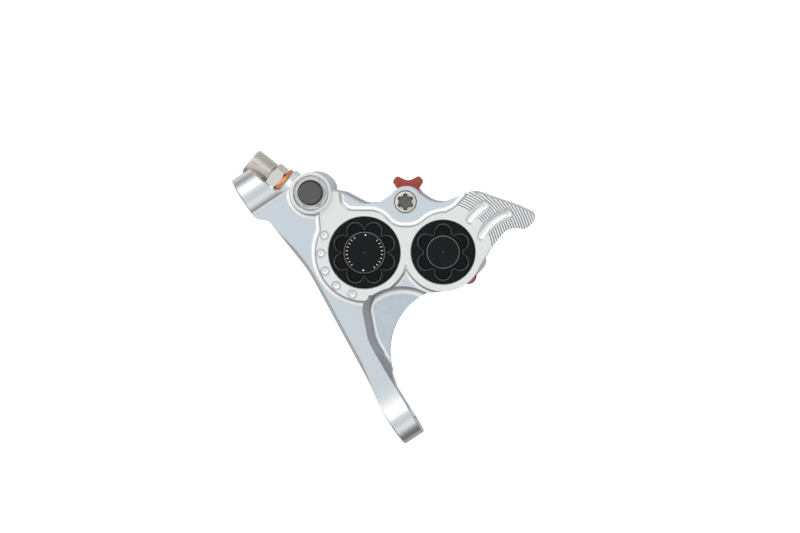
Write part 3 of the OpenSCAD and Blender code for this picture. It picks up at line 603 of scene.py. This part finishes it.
def rim_gap(x, z):
    """Distance from the raised face round the bores."""
    large = np.hypot(x - LARGE[0], z - LARGE[1])
    sx, sz = place(*SMALL_AT)
    small = np.hypot(x - sx, z - sz) - SMALL_RIM_R
    band = np.maximum(large - LARGE_RIM_R, gap_to(at_bores(BAND), x, z))
    ends = np.minimum(gap_to(at_bores(TAIL_ZONE), x, z), gap_to(at_bores(SHOULDER), x, z))
    ends = np.maximum(ends, gap_to(at_bores(crown()), x, z))
    neck = gap_to(at_bores(NECK), x, z)
    gap = np.minimum.reduce([large - LARGE_RIM_R + RIM_STEP, band, small, neck, ends])
    return np.maximum.reduce([gap, -gap_to(at_bores(POCKET), x, z), scoop_reach(x, z)])


def scoop_reach(x, z):
    """Distance inside the arched scoop between the bores."""
    sx, sz = place(*SCOOP_AT)
    return SCOOP_R - np.hypot(x - sx, z - sz)


def shelf_gap(x, z):
    """Distance from the shelf: crown, ear and the outline round both rims."""
    px, pz = place(*PIN_AT)
    gap = np.minimum.reduce([gap_to(at_bores(crown()), x, z), np.hypot(x - px, z - pz) - EAR_R,
                             gap_to(at_bores(hull(LARGE_RIM_R, SMALL_RIM_R)), x, z)])
    return np.maximum(gap, scoop_reach(x, z))


def boss_gap(x, z):
    """Distance from the bleed boss."""
    return np.hypot(x - BLEED[0], z - BLEED[1]) - BLEED_BOSS_R


def shelf_height(x, z):
    """Front of the shelf, with fillets up to the raised face and the bleed boss."""
    return np.maximum.reduce([fillet(rim_gap(x, z), -SHELF_Y, 1.9), fillet(boss_gap(x, z), -SHELF_Y, 1.5)])


def foot_blend(x):
    """Front of the arm where it swells into the round feet."""
    level = np.full(x.shape, -ARM_Y)
    for foot, start, r, centre_h in ((-FOOT_X, -30.13, 1.5, 5.7), (FOOT_X, 25.0, 22.7, 26.9)):
        side = 1 if start > foot else -1
        off = (x - foot) * side
        dome = np.sqrt(np.maximum(FOOT_R ** 2 - (x - foot) ** 2, 0))
        touch = abs(start - foot) * FOOT_R / (FOOT_R + r)
        sweep = centre_h - np.sqrt(np.maximum(r * r - (x - start) ** 2, 0))
        near = abs(start - foot)
        level = np.where((off > touch) & (off < near), np.maximum(level, sweep), level)
        level = np.where(off <= touch, np.maximum(dome, -3), level)
    return level


def arm_height(x, z):
    """Front of the arm, with fillets up to the raised face, the shelf and the bleed boss."""
    return np.maximum.reduce([foot_blend(x), fillet(rim_gap(x, z), -ARM_Y, 2.2),
                              np.minimum(fillet(shelf_gap(x, z), -ARM_Y, 1.6), -SHELF_Y - 0.1),
                              fillet(boss_gap(x, z), -ARM_Y, 1.9)])


def web_height(x, z):
    """Front of the sunk web, with a leaning wall up to the arm and a fillet up to the shelf."""
    rise, angle, foot_r = 4.4, math.radians(66), 1.2
    return np.maximum(drafted(gap_to(ARM, x, z), -WEB_Y, rise, angle, foot_r),
                      fillet(shelf_gap(x, z), -WEB_Y, 3.0))


def groove_tool(path, r):
    """A ball-nosed cutter's path: a round bar with domed ends, bent through three places (p, q, y)."""
    a, b, c = (Vector((place(p, q)[0], y, place(p, q)[1])) for p, q, y in path)
    bend = 2 * b - (a + c) / 2
    dome, along, around = 8, 17, 40
    rings = []
    for t in np.linspace(0, 1, along).tolist():
        heading = ((1 - t) * (bend - a) + t * (c - bend)).normalized()
        rings.append(((1 - t) ** 2 * a + 2 * t * (1 - t) * bend + t * t * c, heading, r))
    turns = np.linspace(0, math.pi / 2, dome + 1)[1:]
    start = [(a - rings[0][1] * r * math.sin(t), rings[0][1], r * math.cos(t)) for t in turns]
    end = [(c + rings[-1][1] * r * math.sin(t), rings[-1][1], r * math.cos(t)) for t in turns]
    rings = start[::-1] + rings + end
    release()
    bpy.ops.mesh.primitive_grid_add(x_subdivisions=len(rings) - 1, y_subdivisions=around, size=2)
    tool = bpy.context.object
    co = points_of(tool)
    for i, (u, v, _) in enumerate(co):
        centre, heading, wide = rings[round((u + 1) / 2 * (len(rings) - 1))]
        side = heading.cross(Vector((0, 1, 0))).normalized()
        t = (v + 1) * math.pi
        co[i] = centre + wide * (math.cos(t) * side + math.sin(t) * heading.cross(side))
    put_points(tool, co)
    bpy.ops.object.mode_set(mode="EDIT")
    bpy.ops.mesh.select_all(action="SELECT")
    bpy.ops.mesh.remove_doubles(threshold=0.0005)
    bpy.ops.object.mode_set(mode="OBJECT")
    outward(tool)
    return tool


def rib_tool():
    """A toothed ring cutter that leaves flat round ribs about the small bore on the falling tail."""
    profile = [(RIB_START, -2.0)]
    for i in range(RIB_COUNT):
        for step, deep in ((0, 0), (RIB_LAND, 0), (RIB_LAND + RIB_WALL, RIB_DEEP),
                           (RIB_PITCH - RIB_WALL, RIB_DEEP)):
            out = i * RIB_PITCH + step
            profile.append((RIB_START + out, out * RIB_SLOPE + deep))
    reach_out = RIB_COUNT * RIB_PITCH
    profile += [(RIB_START + reach_out, reach_out * RIB_SLOPE), (RIB_START + reach_out, -2.0)]
    tool = turned(profile, along_y(place(*SMALL_AT), RIM_Y), 180)
    combine(tool, plate(at_bores(TAIL_ZONE), RIM_Y - 3, 2), "INTERSECT")
    return tool


def arm_chamfer():
    """Cutter for the chamfer along the arm's arched front edge, running out to a point at both ends."""
    edge = sorted((x, z) for x, z in ARM if -26.9 < x < 29 and z < 4.6)
    first, last, widest, taper = -25.0, 25.5, 0.95, 0.12
    x = np.linspace(first, last, 90)
    z = np.interp(x, [e[0] for e in edge], [e[1] for e in edge])
    wide = np.minimum(widest, np.minimum((x - first) * taper, (last - x) * taper)) - 0.05
    front, back, lean = 0.6, 1.2, 0.75
    near = list(zip(x, z + wide + front)) + list(zip(x[::-1], z[::-1] - 4))
    far = list(zip(x, z + wide - back)) + list(zip(x[::-1], z[::-1] - 4))
    tool = plate(near, ARM_Y - front * lean, ARM_Y + back * lean)
    co = points_of(tool)
    start, end = np.array(near), np.array(far)
    for i in np.flatnonzero(co[:, 1] > ARM_Y):
        k = np.argmin(np.hypot(start[:, 0] - co[i, 0], start[:, 1] - co[i, 2]))
        co[i, 0], co[i, 2] = end[k]
    put_points(tool, co)
    outward(tool)
    return tool


# The body

def rim_face():
    """The raised face round both bores, with its pocket below the ear and a broken edge."""
    face = plate(circle(LARGE, LARGE_RIM_R - RIM_STEP, 128), RIM_Y, 5)
    band = plate(circle(LARGE, LARGE_RIM_R, 144), RIM_Y, 5)
    combine(band, plate(at_bores(BAND), RIM_Y - 1, 6), "INTERSECT")
    combine(face, band, "UNION")
    combine(face, plate(circle(place(*SMALL_AT), SMALL_RIM_R, 128), RIM_Y, 5), "UNION")
    combine(face, plate(at_bores(NECK), RIM_Y, 5), "UNION")
    for zone in (TAIL_ZONE, SHOULDER):
        end = plate(at_bores(crown()), RIM_Y, 5)
        combine(end, plate(at_bores(zone), RIM_Y - 1, 6), "INTERSECT")
        combine(face, end, "UNION")
    combine(face, plate(at_bores(POCKET), RIM_Y - 1, SHELF_Y + 1), "DIFFERENCE")
    merge_flats(face)
    break_edges(face, 0.16, 2, lambda c: abs(c[1] - RIM_Y) < 1e-3)
    return face


def front_half():
    """Shelf, raised face, arm, web, bleed boss and feet."""
    shelf_outline = at_bores(crown())
    body = skin(shelf_outline, *reach(shelf_outline), shelf_height, SLOT_Y0 + 0.3)
    ring = at_bores(hull(LARGE_RIM_R, SMALL_RIM_R))
    combine(body, skin(ring, *reach(ring), shelf_height, SLOT_Y0 + 0.25), "UNION")
    ear = circle(place(*PIN_AT), EAR_R, 72)
    combine(body, skin(ear, *reach(ear), shelf_height, SLOT_Y0 + 0.2), "UNION")
    combine(body, rim_face(), "UNION")
    combine(body, rod(place(*SCOOP_AT), RIM_Y - 1, WEB_Y + 0.03, SCOOP_R, 200), "DIFFERENCE")
    combine(body, skin(ARM, *reach(ARM), arm_height, WEB_BACK), "UNION")
    web = skin(WEB, *reach(WEB), web_height, WEB_BACK - 0.01)
    combine(web, rod(NOTCH_AT, -14, 7, NOTCH_R, 160), "DIFFERENCE")
    left = SMALL_AT[0] - 3
    under = [(left, -40), (45, -40), (45, -SMALL_RIM_R), (left, -SMALL_RIM_R)]
    combine(web, plate(at_bores(under), -14, 7), "DIFFERENCE")
    combine(body, web, "UNION")
    boss = turned([(0, 0), (BLEED_BOSS_R - 0.45, 0), (BLEED_BOSS_R - 0.13, 0.12), (BLEED_BOSS_R, 0.45),
                   (BLEED_BOSS_R, 28), (0, 28)], along_y(BLEED, BLEED_Y))
    combine(body, boss, "UNION")
    for x, h in ((FOOT_X, FOOT_H), (-FOOT_X, HOSE_FOOT_H + 1.3)):
        foot = turned([(0, 0), (FOOT_R - 0.3, 0), (FOOT_R, 0.3), (FOOT_R, h - 0.25), (FOOT_R - 0.25, h),
                       (0, h)], Matrix.Translation((x, 0, 0)), 128)
        combine(body, foot, "UNION")
    return body


def rear_half():
    """Inner half with the bridges at both ends of the slot, its back plate and the hose port."""
    start = SLOT_Y1 - 0.05
    rear = plate(at_bores(crown(3.0)), SLOT_Y0 - 0.1, SHELF_BACK)
    combine(rear, plate(at_bores(hull(LARGE_RIM_R, SMALL_RIM_R)), start, SHELF_BACK), "UNION")
    combine(rear, rod(place(*PIN_AT), start, SHELF_BACK, EAR_R, 72), "UNION")
    bore = SMALL_AT[0]
    corner = rounded([(bore, -7, 0), (bore + 5.6, -9.2, 3), (bore + 10.8, -3.9, 3), (bore + 9, 2, 0)])
    combine(rear, plate(at_bores(corner), start, SHELF_BACK - 3), "UNION")
    merge_flats(rear)
    break_edges(rear, 0.7, 5, lambda c: abs(c[1] - SHELF_BACK) < 1e-3)
    back = plate(at_bores(hull(LARGE_RIM_R - 0.8, SMALL_RIM_R - 0.8)), SHELF_BACK - 0.5, BACK_Y)
    combine(back, rod(place(*PIN_AT), SHELF_BACK - 1, BACK_Y + 1, EAR_R + 1.1, 72), "DIFFERENCE")
    break_edges(back, 1.3, 7, lambda c: abs(c[1] - BACK_Y) < 1e-3)
    combine(rear, back, "UNION")
    combine(rear, turned([(0, 0), (5.3, 0), (5.6, 0.3), (5.6, 10), (0, 10)], port_frame()), "UNION")
    return rear


def bore_tools():
    """Cutters for the rotor slot, the bores and the cap seats."""
    slot = plate(at_bores(circle(ROTOR_AT, ROTOR_R, 360)), SLOT_Y0, SLOT_Y1)
    window = [(-SLOT_HALF, -36), (SLOT_HALF, -36), (SLOT_HALF, 46), (-SLOT_HALF, 46)]
    combine(slot, plate(at_bores(window), SLOT_Y0, SLOT_Y1), "UNION")
    tools = [slot]
    seat = CAP_SEAT_Y - RIM_Y
    for at, r, cap_r in ((LARGE, LARGE_R, LARGE_CAP_R), (place(*SMALL_AT), SMALL_R, SMALL_CAP_R)):
        tools.append(turned([(0, -1), (cap_r + 0.35, -1), (cap_r + 0.35, 0), (cap_r + 0.05, 0.3),
                             (cap_r + 0.05, seat), (r + 0.05, seat), (r + 0.05, 16), (0, 16)],
                            along_y(at, RIM_Y), 128))
        tools.append(rod(at, SLOT_Y1 - 0.5, BORE_END_Y, r + 0.05, 128))
    return tools


def hole_tools():
    """Cutters for the pin, the bolts, the hose foot's slant and the ports."""
    pin = place(*PIN_AT)
    tools = [rod(pin, SHELF_Y - 1, BACK_Y + 1, 2.05, 64),
             turned([(0, -1), (3.05, -1), (3.05, 0), (2.85, 0.2), (2.85, 3.0), (0, 3.0)],
                    along_y(pin, SHELF_Y), 72)]
    for x in (-FOOT_X, FOOT_X):
        top = FOOT_H if x > 0 else 30
        wide = BOLT_R + 0.3
        tools.append(turned([(0, -1), (wide, -1), (wide, 0), (BOLT_R, 0.3), (BOLT_R, top - 0.3), (wide, top),
                             (wide, top + 1), (0, top + 1)], Matrix.Translation((x, 0, 0)), 72))
    release()
    bpy.ops.mesh.primitive_cube_add(size=1)
    slant = bpy.context.object
    slant.data.transform(Matrix.Translation((-FOOT_X, 0, HOSE_FOOT_H)) @ Matrix.Rotation(-HOSE_ANGLE, 4, "Y")
                         @ Matrix.Translation((-4.7, -0.5, 6)) @ Matrix.Diagonal((14.6, 23, 12, 1)))
    tools.append(slant)
    tools.append(turned([(0, -7), (6, -7), (6, 0), (3.3, 0), (3.05, 0.25), (3.05, 7), (0, 7)],
                        port_frame(), 72))
    tools.append(turned([(0, -1), (4.6, -1), (4.6, 0), (4.35, 0.25), (4.35, 1.6), (3.05, 1.6), (3.05, 10.6),
                         (0, 10.6)], along_y(BLEED, BLEED_Y), 72))
    tools.append(rod(place(*PLUG_AT), SHELF_BACK - 2.6, SHELF_BACK + 1, 1.92, 40))
    return tools


def trim_tools():
    """Cutters for the rim's dimples, the tail's grooves and ribs, and the arm's chamfer."""
    tools = []
    for i in range(DIMPLES):
        at = arc(LARGE, DIMPLE_RING, DIMPLE_FIRST + DIMPLE_STEP * i, 0, 1)[0]
        release()
        bpy.ops.mesh.primitive_uv_sphere_add(segments=40, ring_count=24, radius=DIMPLE_R,
                                             location=(at[0], RIM_Y - 0.1, at[1]))
        ball = bpy.context.object
        bpy.ops.object.transform_apply(location=True)
        tools.append(ball)
    s = SMALL_AT[0]
    tools.append(groove_tool(((s + 7.1, 8.4, RIM_Y - 0.8), (s + 8.8, 10.3, RIM_Y),
                              (s + 10.6, 11.8, RIM_Y + 0.7)), 1.6))
    tools.append(groove_tool(((s + 9.9, 4.2, RIM_Y - 0.7), (s + 12.9, 7.7, RIM_Y + 0.3),
                              (s + 16.7, 9.7, RIM_Y + 1.5)), 1.52))
    return tools + [rib_tool(), arm_chamfer()]


def caliper_body():
    """The machined body: both halves joined, then all openings cut."""
    body = front_half()
    combine(body, rear_half(), "UNION")
    for tool in bore_tools() + hole_tools() + trim_tools():
        combine(body, tool, "DIFFERENCE")
    merge_flats(body, 0.1)
    return body


# Small pieces

def lobed(at, inner, lobe, count):
    """Outline of a round recess with round lobes set on its edge, turned as in the view."""
    out = []
    first = math.radians(146.6) + (math.pi / count if count == 8 else 0)
    for k in range(count * 28):
        t = math.tau * k / (count * 28)
        off = (t - first + math.pi / count) % (math.tau / count) - math.pi / count
        r = inner
        if abs(inner * math.sin(off)) < lobe:
            r = max(r, inner * math.cos(off) + math.sqrt(lobe ** 2 - (inner * math.sin(off)) ** 2))
        out.append((at[0] + r * math.cos(t), at[1] + r * math.sin(t)))
    return out


def bore_cap(at, r, lobes):
    """Screwed cap with a broken edge and a lobed tool recess that has a narrow ledge round it."""
    cap = turned([(0, 0), (r - 0.45, 0), (r - 0.15, 0.1), (r, 0.4), (r, 4.8), (0, 4.8)],
                 along_y(at, CAP_Y), 128)
    combine(cap, plate(lobed(at, r - 3.1, 2.1, lobes), CAP_Y - 1, CAP_Y + 1.8), "DIFFERENCE")
    combine(cap, plate(lobed(at, r - 2.97, 2.23, lobes), CAP_Y - 1, CAP_Y + LOBE_LEDGE), "DIFFERENCE")
    merge_flats(cap, 0.05)
    return cap


def cap_island(at, r):
    """Turned island in the middle of a bore cap, with a broken edge and a lathe centre."""
    return turned([(0, 0.16), (0.16, 0), (r - 0.24, 0), (r - 0.06, 0.1), (r, 0.26), (r, 1.52), (0, 1.52)],
                  along_y(at, ISLAND_Y), 96)


def cap_marks():
    """Two dots and two arcs of plain ticks on the large island."""
    first, step = 143, 12.5
    marks = []
    for side in (0, 180):
        t = math.radians(first + side)
        at = (LARGE[0] + MARK_R * math.cos(t), LARGE[1] + MARK_R * math.sin(t))
        marks.append(plate(circle(at, DOT_R, 20), ISLAND_Y - 0.012, ISLAND_Y + 0.05))
    for turn in [first + side + k * step for side in (0, 180) for k in range(3, 12)]:
        c, s = math.cos(math.radians(turn)), math.sin(math.radians(turn))
        low, high, half = TICK_FROM, TICK_TO, TICK_WIDE / 2
        corners = [(low, -half), (high, -half), (high, half), (low, half)]
        outline = [(LARGE[0] + a * c - b * s, LARGE[1] + a * s + b * c) for a, b in corners]
        marks.append(plate(outline, ISLAND_Y - 0.010, ISLAND_Y + 0.05))
    for mark in marks[1:]:
        combine(marks[0], mark, "UNION")
    return marks[0]


def chamfered_hexagon(flats, z0, z1, matrix, turn=0.0):
    """A hexagon with turned chamfers on both ends, along the local Z axis."""
    corner = flats / math.sqrt(3)
    deep = (corner - flats / 2) * 0.75
    nut = plate(arc((0, 0), corner, turn, turn + 300, 6), z0, z1)
    nut.data.transform(Matrix.Rotation(math.pi / 2, 4, "X"))
    inner, outer = flats / 2 - 0.05, corner + 0.02
    cone = turned([(0, z0 - 0.01), (inner, z0 - 0.01), (outer, z0 + deep), (outer, z1 - deep),
                   (inner, z1 + 0.01), (0, z1 + 0.01)], Matrix.Identity(4), 96)
    combine(nut, cone, "INTERSECT")
    nut.data.transform(matrix)
    outward(nut)
    return nut


def hose_connector():
    """Male connector: helical outer thread, chamfered hexagon, shank and a flared bore."""
    end, thread, pitch, crest, root = -10.8, 6.4, 0.75, 4.0, 3.62
    count = int(thread / pitch * 10)
    profile = [(1.6, 6.0), (1.6, end + 1.3), (2.5, end), (3.35, end)]
    profile += [(crest, end + 0.05 + (thread - 0.1) * k / count) for k in range(count + 1)]
    profile += [(3.5, end + thread), (3.5, -1.6), (3.0, -1.5), (3.0, 5.6), (2.7, 6.0)]
    piece = turned(profile, Matrix.Identity(4), 96)
    co = points_of(piece)
    r = np.hypot(co[:, 0], co[:, 1])
    wave = np.abs(((co[:, 2] / pitch - np.arctan2(co[:, 1], co[:, 0]) / math.tau) % 1.0) * 2 - 1)
    depth = root + (crest - root) * (0.5 - 0.5 * np.cos(math.pi * np.clip(wave * 1.2 - 0.1, 0, 1)))
    lead = np.clip((co[:, 2] - end) / 0.7, 0, 1)
    run_out = np.clip((end + thread - co[:, 2]) / 0.5, 0, 1)
    depth = root + (depth - root) * np.minimum(lead, run_out) - (1 - lead) * 0.15
    ratio = np.where(r > crest - 0.01, depth / np.maximum(r, 1e-6), 1.0)
    co[:, 0] *= ratio
    co[:, 1] *= ratio
    put_points(piece, co)
    piece.data.transform(port_frame())
    nut = chamfered_hexagon(8.0, -4.4, -1.2, port_frame(), 12.0)
    combine(nut, turned([(0, -6), (2.0, -6), (2.0, 1), (0, 1)], port_frame(), 48), "DIFFERENCE")
    combine(piece, nut, "UNION")
    return piece


def copper_washer():
    """Crush washer between the hexagon and the port's face, with rounded edges."""
    return turned([(3.08, -1.0), (3.25, -1.2), (4.72, -1.2), (4.92, -1.12), (5.0, -0.92), (5.0, -0.28),
                   (4.92, -0.08), (4.72, 0.0), (3.25, 0.0), (3.08, -0.2)], port_frame(), 96)


def bleed_screw():
    """Screw with a sealing cone, a chamfered hexagon and a nipple."""
    axis = along_y(BLEED, BLEED_SEAT_Y)
    piece = turned([(0, 9.0), (0.8, 8.5), (2.2, 6.5), (2.7, 6.5), (3.0, 6.2), (3.0, -0.2), (2.2, -0.2),
                    (2.2, -3.5), (1.9, -3.8), (0, -3.8)], axis, 64)
    combine(piece, chamfered_hexagon(7.0, -2.2, 0.0, axis), "UNION")
    return piece


def bleed_cap():
    """Rubber dust cap with a soft crown, a pull bead and a hollow, sitting a little askew on the nipple."""
    pivot = Vector((BLEED[0], BLEED_TIP_Y + 2.6, BLEED[1]))
    askew = Matrix.Rotation(math.radians(-6), 4, Vector((0.55, 0, 0.83)))
    lean = Matrix.Translation(pivot) @ askew @ Matrix.Translation(-pivot)
    return turned([(0, 0), (2.35, 0), (2.72, 0.06), (3.02, 0.26), (3.16, 0.56), (3.2, 0.9), (3.2, 2.0),
                   (3.12, 2.12), (3.2, 2.26), (3.2, 2.62), (3.08, 2.77), (2.25, 2.77), (2.25, 1.15),
                   (0, 1.15)], lean @ along_y(BLEED, BLEED_TIP_Y), 72)


def pad_pin():
    """Screwed pin with a socket head, a clip groove and a broken end."""
    at = place(*PIN_AT)
    piece = turned([(0, 0), (2.35, 0), (2.68, 0.12), (2.8, 0.4), (2.8, 2.4), (2.6, 2.58), (2.0, 2.58),
                    (2.0, 33.43), (1.45, 33.43), (1.45, 34.57), (2.0, 34.57), (2.0, 36.4), (1.6, 36.8),
                    (0, 36.8)], along_y(at, PIN_Y), 72)
    combine(piece, plate(lobed(at, 1.7, 0.55, 6), PIN_Y - 0.6, PIN_SOCKET_Y), "DIFFERENCE")
    return piece


def paint_light_by_facing(piece, material, low, high):
    """Gives the faces that look forward by the given amounts another colour: painted light."""
    piece.data.materials.append(material)
    for face in piece.data.polygons:
        if low < -face.normal.y < high:
            face.material_index = 1


def paint_highlight_at_level(piece, material, level):
    """Gives the flats at one depth another colour: a painted highlight."""
    piece.data.materials.append(material)
    for face in piece.data.polygons:
        if face.normal.y < -0.99 and abs(face.center.y / MM - level) < 0.01:
            face.material_index = 1


def paint_socket_shade(piece):
    """The socket inside the pin's head gets a dark colour: painted shade in the recess."""
    piece.data.materials.append(SOCKET_PAINTED_SHADE)
    at = place(*PIN_AT)
    for face in piece.data.polygons:
        x, y, z = (c / MM for c in face.center)
        if PIN_Y + 0.01 < y < PIN_SOCKET_Y + 0.1 and math.hypot(x - at[0], z - at[1]) < 2.28:
            face.material_index = 1


def transport_spacer():
    """Moulded fork in the rotor's place, with soft edges and a two-horned grip."""
    px, up, half, drop, shoulder = PIN_AT[0], PIN_AT[1], 18.2, 8.9, 8.6
    top = up + 6.2
    outline = rounded([
        (-half, -drop, 2), (half, -drop, 2), (half, shoulder, 3), (px + 6.5, shoulder + 1.2, 2),
        (px + 3.9, up, 1), (px + 2.75, up + 3, 0.8), (px + 4.1, top - 1, 0.8), (px + 2.9, top + 0.4, 0.7),
        (px, top - 1, 2.4), (px - 2.9, top + 0.4, 0.7), (px - 4.1, top - 1, 0.8), (px - 2.75, up + 3, 0.8),
        (px - 3.9, up, 1), (px - 6.5, shoulder + 1.2, 2), (-half, shoulder, 3)])
    piece = plate(at_bores(outline), 11.0, 13.0)
    gap, low = 2.5, -drop - 1
    fork = plate(at_bores([(px - gap, low), (px + gap, low), (px + gap, up), (px - gap, up)]), 10, 14)
    combine(fork, rod(place(px, up), 10, 14, gap, 64), "UNION")
    combine(piece, fork, "DIFFERENCE")
    merge_flats(piece, 0.05)
    break_edges(piece, 0.42, 3, lambda c: True)
    return piece


def body_finish_and_shade(face):
    """The finish of one face of the body, from where it lies and which way it looks. The darker wall, furrow,
    web and side colours among them are painted shade.
    """
    ahead = face.normal.y
    x, y, z = (c / MM for c in face.center)
    sx, sz = place(*SMALL_AT)
    along = (x - sx) * math.cos(BORE_ANGLE) + (z - sz) * math.sin(BORE_ANGLE)
    out = math.hypot(x - sx, z - sz) - RIB_START
    below = y - RIM_Y - out * RIB_SLOPE
    # Rib lands keep the faced colour. The furrows between them get the darker colour, which is painted shade.
    if along > 1 and out > 0 and -0.1 < below < RIB_DEEP + 0.03 and ahead < -0.05:
        return FACED if out % RIB_PITCH < RIB_LAND and ahead < -0.9 else FURROW_PAINTED_SHADE
    if ahead < -0.985:
        if abs(y - RIM_Y) < 0.02 or y < RIM_Y - 1:
            return FACED
        if min(abs(y - ARM_Y), abs(y - SHELF_Y)) < 0.05:
            return ARM_FLAT
        # The sunk web floor gets the darker, bluer colour, which is painted shade.
        return WEB_FLAT_PAINTED_SHADE if abs(y - WEB_Y) < 0.05 else MILLED
    if ahead > 0.985:
        return FACED if abs(y - BACK_Y) < 0.02 else ARM_FLAT
    # Leaning wall faces turned one way get the darker colour, which is painted shade.
    if -0.62 < ahead < -0.3 and ARM_Y < y < WEB_Y and 0 < x < FOOT_X - 8:
        return WALL_PAINTED_SHADE if face.normal.x + face.normal.z > 0 else MILLED
    # Profiled sides get the rougher finish and its darker colour, which is painted shade.
    return SIDE_PAINTED_SHADE if abs(ahead) < 0.02 and (z > 11 or abs(x) < FOOT_X - 11) else MILLED


def finish_and_shade_body(piece):
    """Gives the faced, satin, milled and profiled parts of the body their own finish, with painted shade on
    the leaning wall, the rib furrows, the sunk web floor and the profiled sides.
    """
    finishes_and_shades = [MILLED, FACED, ARM_FLAT, WALL_PAINTED_SHADE, FURROW_PAINTED_SHADE, WEB_FLAT_PAINTED_SHADE, SIDE_PAINTED_SHADE]
    piece.data.materials.clear()
    for mat in finishes_and_shades:
        piece.data.materials.append(mat)
    for face in piece.data.polygons:
        face.material_index = finishes_and_shades.index(body_finish_and_shade(face))


studio()
body = finished(caliper_body(), "body_machined", "caliper", None, ["caliper_body"],
                smooth=28)
finish_and_shade_body(body)
for size, at, r, lobes, island_r in (("large", LARGE, LARGE_CAP_R, 8, LARGE_ISLAND_R),
                                     ("small", place(*SMALL_AT), SMALL_CAP_R, 6, SMALL_ISLAND_R)):
    cap = finished(bore_cap(at, r, lobes), "cap_" + size, "caliper", ANODISED,
                   ["bore_cap_" + size])
    # The ledge round the lobes gets the lighter grey, which is a painted highlight.
    paint_highlight_at_level(cap, PAINTED_LOBE_HIGHLIGHT, CAP_Y + LOBE_LEDGE)
    island = finished(cap_island(at, island_r), "cap_island_" + size, "caliper", ISLAND)
    # The island's forward-leaning chamfer faces get the lighter grey, which is a painted highlight.
    paint_light_by_facing(island, PAINTED_ISLAND_HIGHLIGHT, 0.25, 0.95)
finished(cap_marks(), "cap_marks", "caliper", MARK)
finished(hose_connector(), "connector", "caliper", STEEL, ["hose_connector"], smooth=40)
finished(copper_washer(), "washer", "caliper", COPPER, ["copper_washer"])
finished(bleed_screw(), "bleed_nipple", "bleed_screw", STEEL, ["bleed_screw"])
rubber = finished(bleed_cap(), "bleed_dust_cap", "bleed_cap", RUBBER, ["bleed_cap"])
# The dust cap's forward-facing top gets the lighter copy, which is painted light.
paint_light_by_facing(rubber, RUBBER_PAINTED_LIT_TOP, 0.8, 1.1)
# The pin's socket gets the dark colour, which is painted shade.
paint_socket_shade(finished(pad_pin(), "pin", "caliper", STEEL, ["pad_pin"]))
finished(transport_spacer(), "spacer", "spacer", RED, ["transport_spacer"])

# Inner pieces keep their CAD shape and get a finish by the start of their name
INNER = {"cap_oring": SEAL, "piston_seal": SEAL, "dust_seal": SEAL, "piston_large": PHENOLIC,
         "piston_small": PHENOLIC, "pad_plate": PLATE, "pad_lining": LINING, "pad_spring": SPRING,
         "pin_clip": SPRING, "passage_plug": STEEL}
for name, node in nodes.items():
    for start, mat in INNER.items():
        if name.startswith(start):
            node.data.materials.clear()
            node.data.materials.append(mat)
